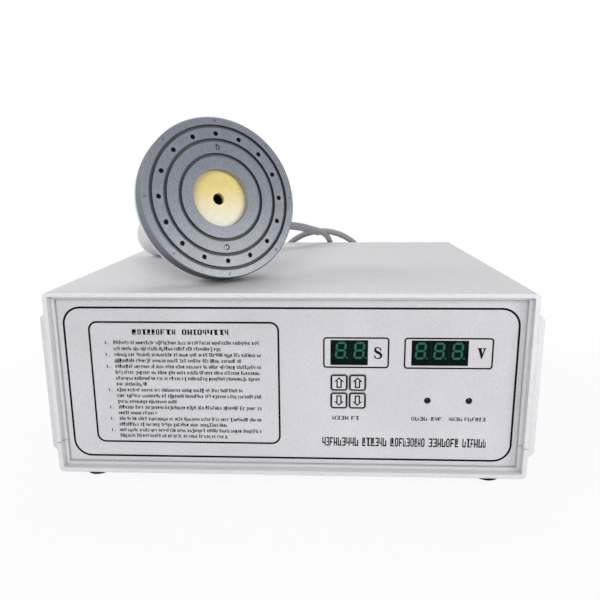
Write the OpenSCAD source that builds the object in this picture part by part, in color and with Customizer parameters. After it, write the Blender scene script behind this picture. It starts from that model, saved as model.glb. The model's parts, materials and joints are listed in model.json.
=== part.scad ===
// Hand-held induction cap sealer: a desk case with the generator, and a round sealing head on a lead.
// X runs to the right, Y to the rear and Z up. The origin is on the table under the middle of the case.

/* [Case] */
// Width of the case without its side fields
case_w = 284; // [276:1:320]
// Depth of the case from front edge to rear edge
case_d = 243; // [236:1:290]
// Height of the case without its feet
case_h = 113; // [109:1:140]
// Wall of the two shells
case_wall = 2.7; // [2:0.1:3.4]
// Radius of the four long edges
case_r = 3; // [1:0.5:6]
// Height of the parting line over the underside
seam_h = 19.4; // [17:0.2:24]
// Open joint between the two shells
seam_gap = 0.4; // [0.2:0.1:0.8]
// Depth of the frame in front of its inner lip
lip_set = 4.2; // [3.6:0.1:6]
// Width of the inner lip
lip_w = 2; // [1.4:0.1:3]
// Thickness of the lips that hold the panels
lip_t = 2; // [1.4:0.1:2.4]
// Thickness of the front and rear panels
panel_t = 2; // [1.5:0.1:2.4]
// Play of a panel in its slot
panel_play = 0.2; // [0.1:0.05:0.4]

/* [Side fields] */
// How far a side field stands out of the wall
field_rise = 5.5; // [3:0.5:8]
// Distance of a side field from the front and rear edges
field_set = 6; // [4:0.5:10]
// Lower end of a side field over the underside
field_low = 8.5; // [8:0.5:14]
// Upper end of a side field over the underside
field_high = 102; // [92:0.5:104]
// Gap between the skirt of a side field and the base shell
skirt_gap = 0.4; // [0.3:0.1:1]
// Width of a cooling slot
louvre_w = 3; // [2:0.5:4]
// Height of a cooling slot
louvre_h = 46; // [30:1:54]
// Distance between cooling slots
louvre_pitch = 9; // [7:0.5:11]
// Number of cooling slots on a side
louvre_count = 16; // [6:1:17]

/* [Feet and case screws] */
// Height of the feet
foot_h = 5; // [4:0.5:10]
// Radius of a foot
foot_r = 8; // [7:0.5:11]
// Distance of a foot's middle from the side of the case
foot_inset_x = 20; // [15:0.5:22]
// Distance of a foot's middle from the front and rear edges
foot_inset_y = 13.5; // [13.5:0.1:16]
// Rubber left under the case at the screw
foot_web = 2; // [1.5:0.1:3]
// Radius of a screw boss
boss_r = 4.5; // [4:0.1:5]
// Height over the underside at which the two bosses meet
boss_split = 17; // [12:0.5:22]
// Radius of a case screw
case_screw_r = 2; // [1.5:0.1:2.3]
// Length of a case screw under its head
case_screw_len = 30; // [24:1:40]
// Radius of a case screw's head
case_head_r = 3.8; // [3.2:0.1:4.2]
// Height of a case screw's head
case_head_h = 2.2; // [1.5:0.1:2.4]

/* [Displays] */
// Thickness of the printed film on the front panel
film_t = 0.3; // [0.2:0.1:0.5]
// Gap between the film and the inner lip
film_inset = 0.5; // [0.2:0.1:1.5]
// Middle of both display windows over the underside
window_z = 76.2; // [72:0.2:80]
// Height of both display windows
window_h = 15.4; // [13:0.2:17]
// Distance of the time window's middle from the right side of the case
time_inset = 106; // [104:0.2:108]
// Width of the time window
time_w = 22; // [20:0.2:23]
// Distance of the voltage window's middle from the right side of the case
volt_inset = 53.2; // [52:0.2:56]
// Width of the voltage window
volt_w = 33; // [30:0.2:35]
// Play of a display in its window
window_play = 0.2; // [0.1:0.05:0.4]
// Distance of the display board's left edge from the right side of the case
display_board_inset = 125; // [124:0.5:128]
// Lower edge of the display board over the underside
display_board_low = 36; // [34:0.5:37]
// Upper edge of the display board over the underside
display_board_high = 93; // [91:0.5:97]
// Gap between the front panel and the display board
display_gap = 8; // [7:0.5:12]
// Thickness of the circuit boards
board_t = 1.6; // [1:0.1:2]
// Distance of a board's screws from its edges
board_screw_inset = 4; // [3.6:0.1:5]
// Radius of a panel spacer
spacer_r = 2.8; // [2.4:0.1:3.2]
// Radius of a board screw
board_screw_r = 1.5; // [1.2:0.1:1.6]
// Length of a board screw under its head
board_screw_len = 6; // [5:0.5:7]
// Radius of a board screw's head
board_head_r = 2.7; // [2.3:0.1:3]

/* [Keys and lamps] */
// Distance of the middle of the four keys from the right side of the case
key_inset = 106.3; // [105:0.1:108]
// Middle of the four keys over the underside
key_z = 52; // [51:0.1:53]
// Distance between the two columns of keys
key_pitch_x = 10.95; // [10.6:0.05:12]
// Distance between the two rows of keys
key_pitch_z = 11.3; // [10.8:0.05:12]
// Width of a key
key_w = 9.8; // [8:0.1:10]
// Height of a key
key_h = 10; // [8:0.1:10.2]
// Corner radius of a key
key_r = 1.6; // [0.5:0.1:2.5]
// Play of a key in the panel
key_play = 0.3; // [0.25:0.05:0.4]
// How far a key stands out of the film
key_rise = 0.3; // [0.1:0.1:1]
// Travel of a key
key_travel = 0.4; // [0.2:0.05:0.6]
// Radius of a key's stem
stem_r = 1.7; // [1.2:0.1:2]
// Side of a tact switch
tact_w = 6; // [5.5:0.1:7]
// Height of a tact switch over its board
tact_h = 5; // [4:0.1:5.5]
// Radial clearance of parts that slide or turn
run_play = 0.05; // [0.02:0.01:0.1]
// Distance of the middle of the two lamps from the right side of the case
lamp_inset = 47.1; // [45:0.1:50]
// Distance between the two lamps
lamp_pitch = 24.4; // [20:0.1:26]
// Middle of the lamps over the underside
lamp_z = 46.7; // [45:0.1:48]
// Radius of a lamp
lamp_r = 1.5; // [1.2:0.1:1.8]
// Radius of a lamp's hole in the panel
lamp_hole_r = 2; // [1.9:0.1:2.5]
// Radius of the buzzer
buzzer_r = 6; // [5:0.5:8]
// Height of the buzzer
buzzer_h = 8; // [6:0.5:10]

/* [Rear panel] */
// Side of the fan
fan_w = 60; // [50:1:64]
// Depth of the fan
fan_t = 25; // [20:1:28]
// Middle of the fan over the underside
fan_z = 60; // [56:0.5:62]
// Wall between the fan's duct and its side
fan_wall = 1.4; // [1:0.1:2]
// Distance between the fan's screws
fan_screw_pitch = 50; // [42:0.5:52]
// Radius of a fan screw
fan_screw_r = 2; // [1.5:0.1:2.1]
// Length of a fan screw under its head
fan_screw_len = 14; // [10:0.5:18]
// Radius of the fan's hub
fan_hub_r = 14; // [10:0.5:16]
// Width of a fan blade on its slant
fan_blade_w = 24; // [20:1:28]
// Thickness of a fan blade
fan_blade_t = 1.4; // [1:0.1:1.8]
// Radius of the fan's shaft
fan_shaft_r = 1.5; // [1:0.1:2]
// Number of fan blades
fan_blades = 7; // [5:1:9]
// Pitch of the slots in the fan's grille
grille_pitch = 6.4; // [5.8:0.1:8]
// Height of a slot in the fan's grille
grille_slot = 3.6; // [2.5:0.1:3.8]
// Distance of the switch, inlet and fuse column from the right side of the case
service_inset = 50; // [46:0.5:54]
// Middle of the mains inlet over the underside
inlet_z = 84; // [82:0.5:88]
// Middle of the power switch over the underside
switch_z = 53; // [50:0.5:55]
// Middle of the fuse over the underside
fuse_z = 26; // [22:0.5:28]
// Width of the mains inlet's socket
inlet_w = 24.4; // [24:0.1:25]
// Height of the mains inlet's socket
inlet_h = 16.6; // [16:0.1:17]
// Depth of the mains inlet's socket
inlet_depth = 18; // [16:0.5:20]
// Wall of the mains inlet
inlet_wall = 1.5; // [1.2:0.1:2]
// Width of the flange round the inlet and the switch
flange_w = 1.6; // [1:0.1:2.4]
// Thickness of the flanges on the rear panel
flange_t = 2; // [1.2:0.1:2.5]
// Width of the rocker
rocker_w = 9.6; // [8:0.1:11]
// Radius of the rocker's barrel
rocker_r = 7.6; // [6.5:0.1:8]
// Tilt of the rocker to either side
rocker_tilt = 9; // [6:0.5:12]
// Radius of the rocker's pivots
rocker_pin_r = 1.2; // [0.8:0.1:1.5]
// Gap round the rocker in its body
rocker_play = 0.35; // [0.3:0.05:0.6]
// Radius of the fuse holder's barrel
fuse_r = 6; // [5.5:0.1:7]
// Depth of the fuse holder inside the case
fuse_depth = 32; // [28:1:40]
// Length of the fuse
fuse_len = 20; // [18:1:22]
// Radius of the fuse
fuse_link_r = 2.6; // [2.2:0.1:3]
// Floor of the fuse holder
fuse_floor = 2; // [1.5:0.1:3]
// Height of the fuse cap over its flange
fuse_cap_h = 3.4; // [2.5:0.1:3.6]
// Gap between the fan and the lead gland's locknut
gland_gap = 1.4; // [0.4:0.1:4]
// Middle of the lead gland over the underside
gland_z = 25; // [24:0.5:30]
// Distance across the flats of the gland
gland_flats = 15; // [14:0.5:17]
// Height of the gland's fixed hexagon
gland_hex_h = 6; // [4:0.5:8]
// Length of the gland's dome
gland_dome_h = 12; // [10:0.5:14]

/* [Power board] */
// Width of the power board
pcb_w = 196; // [190:1:208]
// Depth of the power board
pcb_d = 130; // [126:1:140]
// Middle of the power board behind the middle of the case
pcb_y = -15; // [-18:1:-8]
// Height of the posts under the power board
pcb_post_h = 7; // [5:0.5:8]
// Radius of the posts under the power board
pcb_post_r = 3.6; // [3:0.1:4.5]
// Length of the heat sink
sink_len = 90; // [80:1:100]
// Height of the heat sink
sink_h = 45; // [40:1:55]
// Length of a fin
fin_len = 30; // [20:1:33]
// Thickness of a fin and half that of the back
fin_t = 2.5; // [1.5:0.1:3]
// Number of fins
fin_count = 6; // [4:1:7]
// Radius of the filter capacitor
filter_r = 17.5; // [15:0.5:19]
// Height of the filter capacitor
filter_h = 45; // [35:1:60]
// Outer radius of the choke
choke_r = 21; // [16:0.5:22]
// Height of the choke
choke_h = 18; // [12:0.5:22]
// Height of the film capacitors
film_cap_h = 24; // [18:0.5:30]
// Length of the film capacitors
film_cap_len = 34; // [26:0.5:36]
// Width of the film capacitors
film_cap_w = 15; // [11:0.5:16]
// Gap between the film capacitors
film_cap_gap = 4; // [3:0.5:5]
// Middle of the film capacitors beside the middle of the board
film_cap_x = 28; // [26:0.5:32]
// Width of a power transistor
transistor_w = 16; // [14:0.5:18]
// Height of a power transistor
transistor_h = 21; // [18:0.5:24]
// Thickness of a power transistor
transistor_t = 5; // [4:0.1:6]
// Gap between the two power transistors
transistor_gap = 8; // [4:0.5:10]
// Width of the bridge rectifier
bridge_w = 30; // [24:0.5:32]
// Height of the bridge rectifier
bridge_h = 20; // [16:0.5:24]
// Thickness of the bridge rectifier
bridge_t = 4.6; // [4:0.1:6]
// Height of the control transformer
transformer_h = 38; // [30:1:48]
// Width of the control transformer's core
core_w = 48; // [42:1:52]
// Thickness of the control transformer's core
core_t = 16; // [12:0.5:18]
// Distance of the control transformer's middle from the right edge of the board
core_inset = 32; // [28:0.5:36]

/* [Sealing head] */
// Radius of the sealing face
face_r = 50.4; // [49.6:0.1:53]
// Height of the dark wall round the face
face_wall_h = 11.3; // [10.5:0.1:13]
// Thickness of the face plate
plate_t = 4; // [3.5:0.1:4.4]
// Wall round the inside of the dark wall
face_wall = 3; // [2.4:0.1:3.4]
// Chamfer on the rims of the dark wall
face_chamfer = 0.7; // [0.3:0.1:1.2]
// Radius of the inner groove in the face
groove_in_r = 26.6; // [25:0.1:27.6]
// Radius of the middle groove in the face
groove_mid_r = 35.7; // [35.2:0.1:36.4]
// Radius of the outer groove in the face
groove_out_r = 44.4; // [44:0.1:45]
// Width of a groove
groove_w = 2; // [1.2:0.1:2.4]
// Depth of a groove
groove_d = 2; // [0.8:0.1:2.4]
// Radius of the circle of air holes
hole_circle_r = 39.7; // [39.4:0.1:40.4]
// Number of air holes
hole_count = 16; // [8:1:24]
// Radius of an air hole
hole_r = 1.5; // [0.8:0.1:1.8]
// Turn of the face's pattern about its own axis
face_phase = -2.3; // [-11:0.1:11]
// Radius of the circle of face screws
face_screw_circle_r = 31.2; // [30.8:0.1:31.6]
// Radius of a face screw's head
face_head_r = 1.3; // [1.2:0.1:1.6]
// Radius of a face screw's shank
face_screw_r = 0.9; // [0.7:0.1:1]
// Depth of a face screw's seat under the sealing face
face_seat = 1.6; // [1.2:0.1:2]
// Length of a face screw
face_screw_len = 20; // [18:0.5:24]
// Radius of the middle recess
bore_r = 18.3; // [18:0.1:19.5]
// Depth of the middle recess in front of its disc
disc_set = 5.4; // [4.5:0.1:7]
// Thickness of the centre disc
disc_t = 3; // [2:0.1:3.2]
// Radius of the hole in the centre disc
disc_hole_r = 3.65; // [2:0.05:5]
// Wall of the tube round the centre disc
hub_wall = 2.5; // [2:0.1:3]
// Play of the pieces laid into the head
lay_play = 0.2; // [0.1:0.05:0.4]
// Inner radius of the winding
winding_in_r = 34.5; // [34.4:0.1:36]
// Height of the winding
winding_h = 4; // [3:0.1:4.4]
// Thickness of the winding's former
former_t = 1.6; // [1.2:0.1:1.8]
// Thickness of the ferrite bars
ferrite_t = 3.5; // [2.5:0.1:4]
// Number of ferrite bars
ferrite_count = 6; // [4:2:8]

/* [Rear cover and handle] */
// How far the rear cover's rim lies inside the dark wall's
rim_inset = 0.2; // [0.1:0.1:1]
// Height of the rear cover's rim
rim_h = 1.2; // [1:0.1:3]
// Height of the rear cover's dome
dome_h = 21; // [18:0.5:24]
// Wall of the rear cover and the handle
handle_wall = 2.5; // [2:0.1:3]
// Length of the collar that holds the handle
collar_h = 12; // [8:0.5:16]
// Radius of the handle
handle_r = 17.7; // [17:0.1:19]
// Distance of the handle's end from the sealing face
handle_len = 146; // [138:1:160]
// Radius of the handle's rounded end
end_r = 8; // [4:0.2:8.4]
// Distance of the trigger's middle from the sealing face
trigger_at = 78; // [74:0.5:84]
// Width of the trigger
trigger_w = 13; // [10:0.2:13.6]
// Length of the trigger
trigger_len = 24; // [20:0.5:28]
// How far the trigger stands out of the handle
trigger_rise = 2.8; // [2.6:0.1:4]
// Travel of the trigger
trigger_travel = 2.5; // [1:0.1:2.5]
// Gap round the trigger
trigger_play = 0.4; // [0.3:0.05:0.6]
// Height of the micro switch
micro_h = 8; // [6:0.2:8.4]
// Width of the micro switch
micro_w = 6.4; // [5.6:0.2:7]
// Length of the micro switch
micro_len = 20; // [16:0.5:20]
// Distance of the lead's outlet from the sealing face
outlet_at = 125; // [118:0.5:127]
// Length of the strain relief outside the handle
relief_len = 30; // [24:1:34]
// Radius of the strain relief at its root
relief_r = 6.4; // [5.6:0.1:7]

/* [Resting place of the head] */
// Middle of the sealing face to the right of the middle of the case
head_x = -42.1; // [-47:0.1:-38]
// Middle of the sealing face in front of the rear edge of the case
head_from_rear = 202.8; // [199:0.1:206]
// Turn of the head to the right
head_turn = 33.2; // [30:0.1:36]
// Gap that keeps the resting head just off the case
rest_gap = 0.05; // [0.02:0.01:0.1]

/* [Lead] */
// Diameter of the lead
lead_d = 5.2; // [4.6:0.1:6]
// Diameter of the sleeve over the start of the lead
sleeve_d = 7.4; // [7:0.1:8]
// Straight length of the lead outside its strain relief
lead_straight = 14; // [10:1:14]
// Middle of the tied hank behind the case
hank_x = 18; // [16:0.5:20]
// Half width of the hank
hank_r = 51; // [49:0.1:53]
// How far the hank stands over the case
hank_rise = 12.5; // [10:0.5:16]
// Thickness of the hank from front to rear
hank_t = 17.4; // [16.8:0.1:20]
// Distance of the hank from the case
hank_gap = 5.2; // [4.8:0.1:6]
// Height of a tie's band
tie_h = 12; // [8:0.5:16]
// Thickness of a tie's band
tie_t = 1.2; // [0.8:0.1:2]

/* [Hidden] */
$fn = 64;

// Colours
case_grey = [0.84, 0.84, 0.83];
panel_silver = [0.76, 0.76, 0.79];
board_green = [0.08, 0.32, 0.18];
part_black = [0.1, 0.1, 0.11];
steel = [0.72, 0.73, 0.75];
copper = [0.72, 0.43, 0.25];
face_grey = [0.42, 0.44, 0.47];
lead_grey = [0.6, 0.6, 0.6];

// Cuts run this far past the faces they open
past = 1;
// Smallest edge radius of a plate
edge_r = 0.3;
// Free room kept between inner pieces and the screw bosses
inner_room = 1.5;

// Levels and faces of the case
top_z = foot_h + case_h;
mid_z = foot_h + case_h / 2;
floor_z = foot_h + case_wall;
ceiling_z = top_z - case_wall;
seam_z = foot_h + seam_h;
front_y = -case_d / 2;
rear_y = case_d / 2;
inner_w = case_w - 2 * case_wall;
inner_h = case_h - 2 * case_wall;
slot_t = panel_t + panel_play;
panel_y = front_y + lip_set + lip_t;
panel_back_y = panel_y + panel_t;
film_y = panel_y - film_t;
rear_face_y = -panel_y;
rear_inner_y = -panel_back_y;
lip_inner_y = panel_y + slot_t + lip_t;
corner_x = case_w / 2 - foot_inset_x;
corner_y = case_d / 2 - foot_inset_y;
boss_split_z = foot_h + boss_split;
screw_seat_z = foot_h - foot_web;
boss_pilot_h = screw_seat_z + case_screw_len + 2 * past - boss_split_z;

// Display board and its places
time_x = case_w / 2 - time_inset;
volt_x = case_w / 2 - volt_inset;
key_x = case_w / 2 - key_inset;
lamp_x = case_w / 2 - lamp_inset;
display_board_left = case_w / 2 - display_board_inset;
display_board_right = corner_x - boss_r - inner_room;
display_board_w = display_board_right - display_board_left;
display_y = panel_back_y + display_gap;
tact_y = display_y - tact_h;
display_screw_xs = [display_board_left + board_screw_inset, display_board_right - board_screw_inset];
display_screw_zs = [display_board_low + board_screw_inset, display_board_high - board_screw_inset];
board_head_h = 1.6;

// Rear panel places
fan_x = -(corner_x - boss_r - inner_room - fan_w / 2);
gland_x = fan_x + fan_w / 2 + gland_flats / 2 / cos(30) + gland_gap;
service_x = case_w / 2 - service_inset;
duct_r = fan_w / 2 - fan_wall;
fan_y = rear_inner_y - fan_t;
fan_base_t = 3;
fan_tip_gap = 0.8;
fan_hub_gap = 0.6;
inlet_out_w = inlet_w + 2 * inlet_wall;
inlet_out_h = inlet_h + 2 * inlet_wall;
inlet_back_y = rear_face_y - inlet_depth - inlet_wall;
switch_w = rocker_w + 2 * rocker_play + 2.4;
switch_h = 2 * (rocker_r + rocker_play) + 3;
rocker_y = rear_face_y - 2.6;
pivot_len = rocker_w + 2 * rocker_play + 1.6;
body_fit = 0.1;

// Power board levels
pcb_z = floor_z + pcb_post_h;
pcb_top = pcb_z + board_t;
pcb_screw_x = pcb_w / 2 - board_screw_inset;
pcb_screw_y = pcb_d / 2 - board_screw_inset;
sink_x = -pcb_w / 2 + fin_len + 2 * fin_t + 6;
legs_gap = 4;
can_room = 11.5;
can_x = sink_x + transistor_t + choke_r + can_room;
coil_t = 0.75 * core_t;
core_y = pcb_y + pcb_d / 2 - core_t / 2 - coil_t - can_room;
film_cap_y = pcb_y - pcb_d / 2 + 1.5 * film_cap_w + film_cap_gap + can_room / 2;

// Head: distances along its axis count backwards from the sealing face
face_head_gap = 0.45;
face_sink = 0.5;
hub_r = bore_r + hub_wall;
hub_len = disc_set + disc_t + 1.5;
ledge_r = bore_r - 2.5;
winding_out_r = face_r - face_wall - lay_play;
winding_at = plate_t;
former_at = winding_at + winding_h;
ferrite_at = former_at + former_t;
rim_r = face_r - rim_inset;
dome_step = 9;
dome_at = face_wall_h + rim_h;
cover_boss_r = 4;
collar_r = handle_r + handle_wall + lay_play;
collar_at = dome_at + dome_h - handle_wall;
handle_at = collar_at + 1;
handle_inner_r = handle_r - handle_wall;
flange_y = sqrt(pow(handle_inner_r, 2) - pow(trigger_w / 2 + 1.2, 2)) - 0.4;
trigger_flange_t = 2;
shelf_t = 2;
shelf_y = flange_y - trigger_flange_t - trigger_travel - 4.2 - micro_h;
outlet_r = 8;
outlet_rise = 1;
outlet_flat = handle_inner_r - 1.7;
relief_neck_r = 4.5;

// The head lies on the first bend of its rear cover's dome and on the round edge of its handle
rest_bend = dome_point(dome_step, 0);
rest_r = rest_bend[0];
rim_at = -rest_bend[1];
rest_run = handle_len - end_r - rim_at;
rest_drop = rest_r - (handle_r - end_r);
head_lean = atan2(rest_drop, rest_run) - asin(end_r / norm([rest_run, rest_drop]));
head_z = top_z + rest_gap + rim_at * sin(head_lean) + rest_r * cos(head_lean);
head_y = rear_y - head_from_rear;
head_at = [head_x, head_y, head_z];
head_u = [cos(head_turn), sin(head_turn), 0];
head_n = [sin(head_turn) * cos(head_lean), -cos(head_turn) * cos(head_lean), sin(head_lean)];

// Lead: each point of the first two ways counts from the hank's middle, the rear edge and the top of the case
lead_r = lead_d / 2;
sleeve_r = sleeve_d / 2;
lead_sides = 10;
lead_start = head_at - outlet_at * head_n + (handle_r + outlet_rise + relief_len) * head_u;
sleeve_way = [
    [-59.5, -57.3, 21.6], [-46, -47.5, 21.6], [-33, -37.7, 20.2], [-20, -28.5, 17.8], [-10.4, -17.5, 14.2],
    [-3.1, -9.1, 11.4]
];
upper_way = [
    [-3.1, -9.1, 11.4], [-0.8, -6.5, 10.5], [1.8, -3.4, 9.1], [4.2, -0.5, 6.8], [6.3, 2, 3.9],
    [7.8, 4, 0.3], [8.7, 5.4, -3.7], [9.2, 6.3, -7.9], [9.7, 7.2, -13.8], [10.7, 7.7, -19.8],
    [12.7, 7.9, -25.7], [16, 8, -31.5], [20.6, 8, -37.1], [26.2, 8, -42.6], [32.2, 8, -48.2],
    [37.8, 8, -54.4], [42.5, 8, -61.2], [45.8, 8, -68.2], [47.5, 8, -75.4]
];
lead_sleeve_route = concat([lead_start, lead_start + lead_straight * head_u],
    [for (p = sleeve_way) [hank_x + p[0], rear_y + p[1], top_z + p[2]]]);
lead_upper_route = [for (p = upper_way) [hank_x + p[0], rear_y + p[1], top_z + p[2]]];
// Each point of the lower way: share of the way to the gland, distance behind the case,
// and share of the gland's height
gland_end = [gland_x, rear_face_y + gland_hex_h + gland_dome_h, foot_h + gland_z];
lead_low = lead_r + 0.25;
lower_way = [
    [-0.16, 19.9, 0.023], [-0.033, 21.1, 0.039], [0.081, 24.5, 0.088], [0.177, 29.6, 0.166],
    [0.271, 35, 0.267], [0.372, 39.7, 0.385], [0.49, 42.5, 0.511], [0.615, 42.9, 0.638],
    [0.736, 41, 0.756], [0.844, 36.9, 0.857], [0.928, 30.9, 0.935], [0.982, 23.7, 0.983]
];
lead_lower_route = concat(
    [for (p = lower_way)
        [hank_x + p[0] * (gland_x - hank_x), rear_y + p[1], lead_low + p[2] * (gland_end[2] - lead_low)]],
    [gland_end + [0, 4, 0], gland_end]);
hank_h = top_z + hank_rise;
hank_y = rear_y + hank_gap;
hank_ring_w = lead_d + 0.4;

// Shared shapes
module rounded_rect(w, h, r) {
    square([w - 2 * r, h], center = true);
    square([w, h - 2 * r], center = true);
    for (x = [-1, 1], y = [-1, 1])
        translate([x * (w / 2 - r), y * (h / 2 - r)])
            circle(r);
}

module slot_outline(w, h) {
    square([w, h - w], center = true);
    for (y = [-1, 1])
        translate([0, y * (h - w) / 2])
            circle(w / 2);
}

module along_y(y, len) {
    translate([0, y + len, 0])
        rotate([90, 0, 0])
            linear_extrude(len)
                children();
}

module along_x(x, len) {
    translate([x, 0, 0])
        rotate([90, 0, 90])
            linear_extrude(len)
                children();
}

module rod_y(y, len, r) {
    translate([0, y, 0])
        rotate([-90, 0, 0])
            cylinder(h = len, r = r);
}

module rod_x(x, len, r) {
    translate([x, 0, 0])
        rotate([0, 90, 0])
            cylinder(h = len, r = r);
}

module box(size, at) {
    translate(at - [size[0] / 2, size[1] / 2, 0])
        cube(size);
}

module at_corners() {
    for (x = [-1, 1], y = [-1, 1])
        translate([x * corner_x, y * corner_y, 0])
            children();
}

module at_power_board_screws() {
    for (x = [-1, 1], y = [-1, 1])
        translate([x * pcb_screw_x, pcb_y + y * pcb_screw_y, 0])
            children();
}

module at_display_screws() {
    for (x = display_screw_xs, z = display_screw_zs)
        translate([x, 0, foot_h + z])
            children();
}

module at_fan_screws() {
    for (x = [-1, 1], z = [-1, 1])
        translate([fan_x + x * fan_screw_pitch / 2, 0, foot_h + fan_z + z * fan_screw_pitch / 2])
            children();
}

// Column -1 is the left pair of keys and row 1 the upper pair
module at_key(column, row) {
    translate([key_x + column * key_pitch_x / 2, 0, foot_h + key_z + row * key_pitch_z / 2])
        children();
}

module at_lamp(side) {
    translate([lamp_x + side * lamp_pitch / 2, 0, foot_h + lamp_z])
        children();
}

module on_head() {
    translate(head_at)
        rotate([90 - head_lean, 0, head_turn])
            children();
}

// A ring of the head, with its front end the given distance behind the sealing face
module head_ring(r_in, r_out, at, len) {
    translate([0, 0, -at - len])
        rotate_extrude()
            translate([r_in, 0])
                square([r_out - r_in, len]);
}

function unit(v) = v / norm(v);
function route_dir(p, i) = unit(p[min(i + 1, len(p) - 1)] - p[max(i - 1, 0)]);
function route_ring(p, i, axis, r) =
    let (d = route_dir(p, i), a = unit(cross(d, axis)), b = cross(d, a))
    [for (k = [0:lead_sides - 1])
        p[i] + r * (cos(k * 360 / lead_sides) * a + sin(k * 360 / lead_sides) * b)];

module swept_tube(points, sides) {
    rings = len(points) / sides;
    walls = [for (i = [0:rings - 2], k = [0:sides - 1], half = [0, 1])
        let (a = i * sides + k, b = i * sides + (k + 1) % sides)
        half == 0 ? [a, b, b + sides] : [a, b + sides, a + sides]];
    first = [[for (k = [0:sides - 1]) sides - 1 - k]];
    last = [[for (k = [0:sides - 1]) (rings - 1) * sides + k]];
    polyhedron(points, concat(walls, first, last), convexity = 6);
}

// The axis keeps the rings of a lead from twisting about its way
module lead_tube(route, axis, r) {
    swept_tube([for (i = [0:len(route) - 1], q = route_ring(route, i, axis, r)) q], lead_sides);
}

// Case shells
module case_outline(inset) {
    translate([0, mid_z])
        rounded_rect(case_w - 2 * inset, case_h - 2 * inset, max(case_r - inset, edge_r));
}

module case_sleeve() {
    difference() {
        along_y(front_y, case_d)
            case_outline(0);
        along_y(front_y - past, case_d + 2 * past)
            case_outline(case_wall);
    }
    for (y = [panel_y - lip_t, panel_y + slot_t, -panel_y, -panel_y - slot_t - lip_t])
        along_y(y, lip_t)
            difference() {
                case_outline(case_wall / 2);
                case_outline(case_wall + lip_w);
            }
}

// Both side fields seen from the front: low and high are where the slanted ends meet the wall
module field_outline(inner_x, rise, low, high) {
    wall_x = case_w / 2;
    for (side = [0, 1])
        mirror([side, 0])
            polygon([
                [inner_x, low + inner_x - wall_x], [wall_x + rise, low + rise],
                [wall_x + rise, high - rise], [inner_x, high - inner_x + wall_x]
            ]);
}

module side_fields() {
    along_y(front_y + field_set, case_d - 2 * field_set)
        field_outline(case_w / 2 - case_wall / 2, field_rise, foot_h + field_low, foot_h + field_high);
}

module field_pockets() {
    pocket_y = lip_inner_y + past;
    slant_wall = case_wall * sqrt(2);
    along_y(pocket_y, -2 * pocket_y)
        field_outline(case_w / 2 - case_wall - past, field_rise - case_wall,
            foot_h + field_low + slant_wall, foot_h + field_high - slant_wall);
}

module louvres() {
    louvre_z = foot_h + (field_low + field_high) / 2;
    for (i = [0:louvre_count - 1])
        along_x(-case_w / 2 - field_rise - past, case_w + 2 * field_rise + 2 * past)
            translate([(i - (louvre_count - 1) / 2) * louvre_pitch, louvre_z])
                slot_outline(louvre_w, louvre_h);
}

module cover_shell() {
    color(case_grey)
        difference() {
            union() {
                difference() {
                    union() {
                        case_sleeve();
                        side_fields();
                    }
                    box([case_w + 2 * skirt_gap, case_d + 2 * past, seam_z], [0, 0, 0]);
                    field_pockets();
                    louvres();
                }
                at_corners()
                    translate([0, 0, boss_split_z])
                        cylinder(h = ceiling_z + case_wall / 2 - boss_split_z, r = boss_r);
            }
            at_corners()
                translate([0, 0, boss_split_z - past])
                    cylinder(h = boss_pilot_h, r = case_screw_r + run_play);
        }
}

module base_shell() {
    color(case_grey)
        difference() {
            union() {
                difference() {
                    case_sleeve();
                    box([case_w + 2 * past, case_d + 2 * past, case_h], [0, 0, seam_z - seam_gap]);
                }
                at_corners()
                    translate([0, 0, foot_h + case_wall / 2])
                        cylinder(h = boss_split_z - seam_gap - foot_h - case_wall / 2, r = boss_r);
                at_power_board_screws()
                    translate([0, 0, foot_h + case_wall / 2])
                        cylinder(h = pcb_z - foot_h - case_wall / 2, r = pcb_post_r);
            }
            at_corners()
                translate([0, 0, foot_h - past])
                    cylinder(h = boss_split_z, r = case_screw_r + skirt_gap);
            at_power_board_screws()
                translate([0, 0, floor_z])
                    cylinder(h = pcb_post_h + past, r = board_screw_r + run_play);
        }
}

module rubber_feet() {
    color(part_black)
        at_corners()
            difference() {
                cylinder(h = foot_h, r1 = foot_r - 0.7, r2 = foot_r);
                translate([0, 0, -past])
                    cylinder(h = foot_h + 2 * past, r = case_screw_r + skirt_gap);
                translate([0, 0, -past])
                    cylinder(h = screw_seat_z + past, r = case_head_r + skirt_gap);
            }
}

module case_screws() {
    color(steel)
        at_corners()
            translate([0, 0, screw_seat_z - case_head_h])
                difference() {
                    union() {
                        cylinder(h = case_head_h, r = case_head_r);
                        cylinder(h = case_head_h + case_screw_len, r = case_screw_r);
                    }
                    rotate([0, 0, 45])
                        box([case_head_r, 0.9, 2.2], [0, 0, -past]);
                    rotate([0, 0, -45])
                        box([case_head_r, 0.9, 2.2], [0, 0, -past]);
                }
}

// Front panel and what shows through it
module panel_outline() {
    translate([0, mid_z])
        rounded_rect(inner_w - 2 * panel_play, inner_h - 2 * panel_play, edge_r);
}

module panel_cuts(y, t) {
    for (window = [[time_x, time_w], [volt_x, volt_w]])
        along_y(y - past, t + 2 * past)
            translate([window[0], foot_h + window_z])
                square([window[1], window_h], center = true);
    for (column = [-1, 1], row = [-1, 1])
        at_key(column, row)
            along_y(y - past, t + 2 * past)
                rounded_rect(key_w + 2 * key_play, key_h + 2 * key_play, key_r + key_play);
    for (side = [-1, 1])
        at_lamp(side)
            rod_y(y - past, t + 2 * past, lamp_hole_r);
}

module front_panel() {
    color(panel_silver)
        difference() {
            along_y(panel_y, panel_t)
                panel_outline();
            panel_cuts(panel_y, panel_t);
        }
}

module panel_film() {
    color(panel_silver)
        difference() {
            along_y(film_y, film_t)
                case_outline(case_wall + lip_w + film_inset);
            panel_cuts(film_y, film_t);
        }
}

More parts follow.
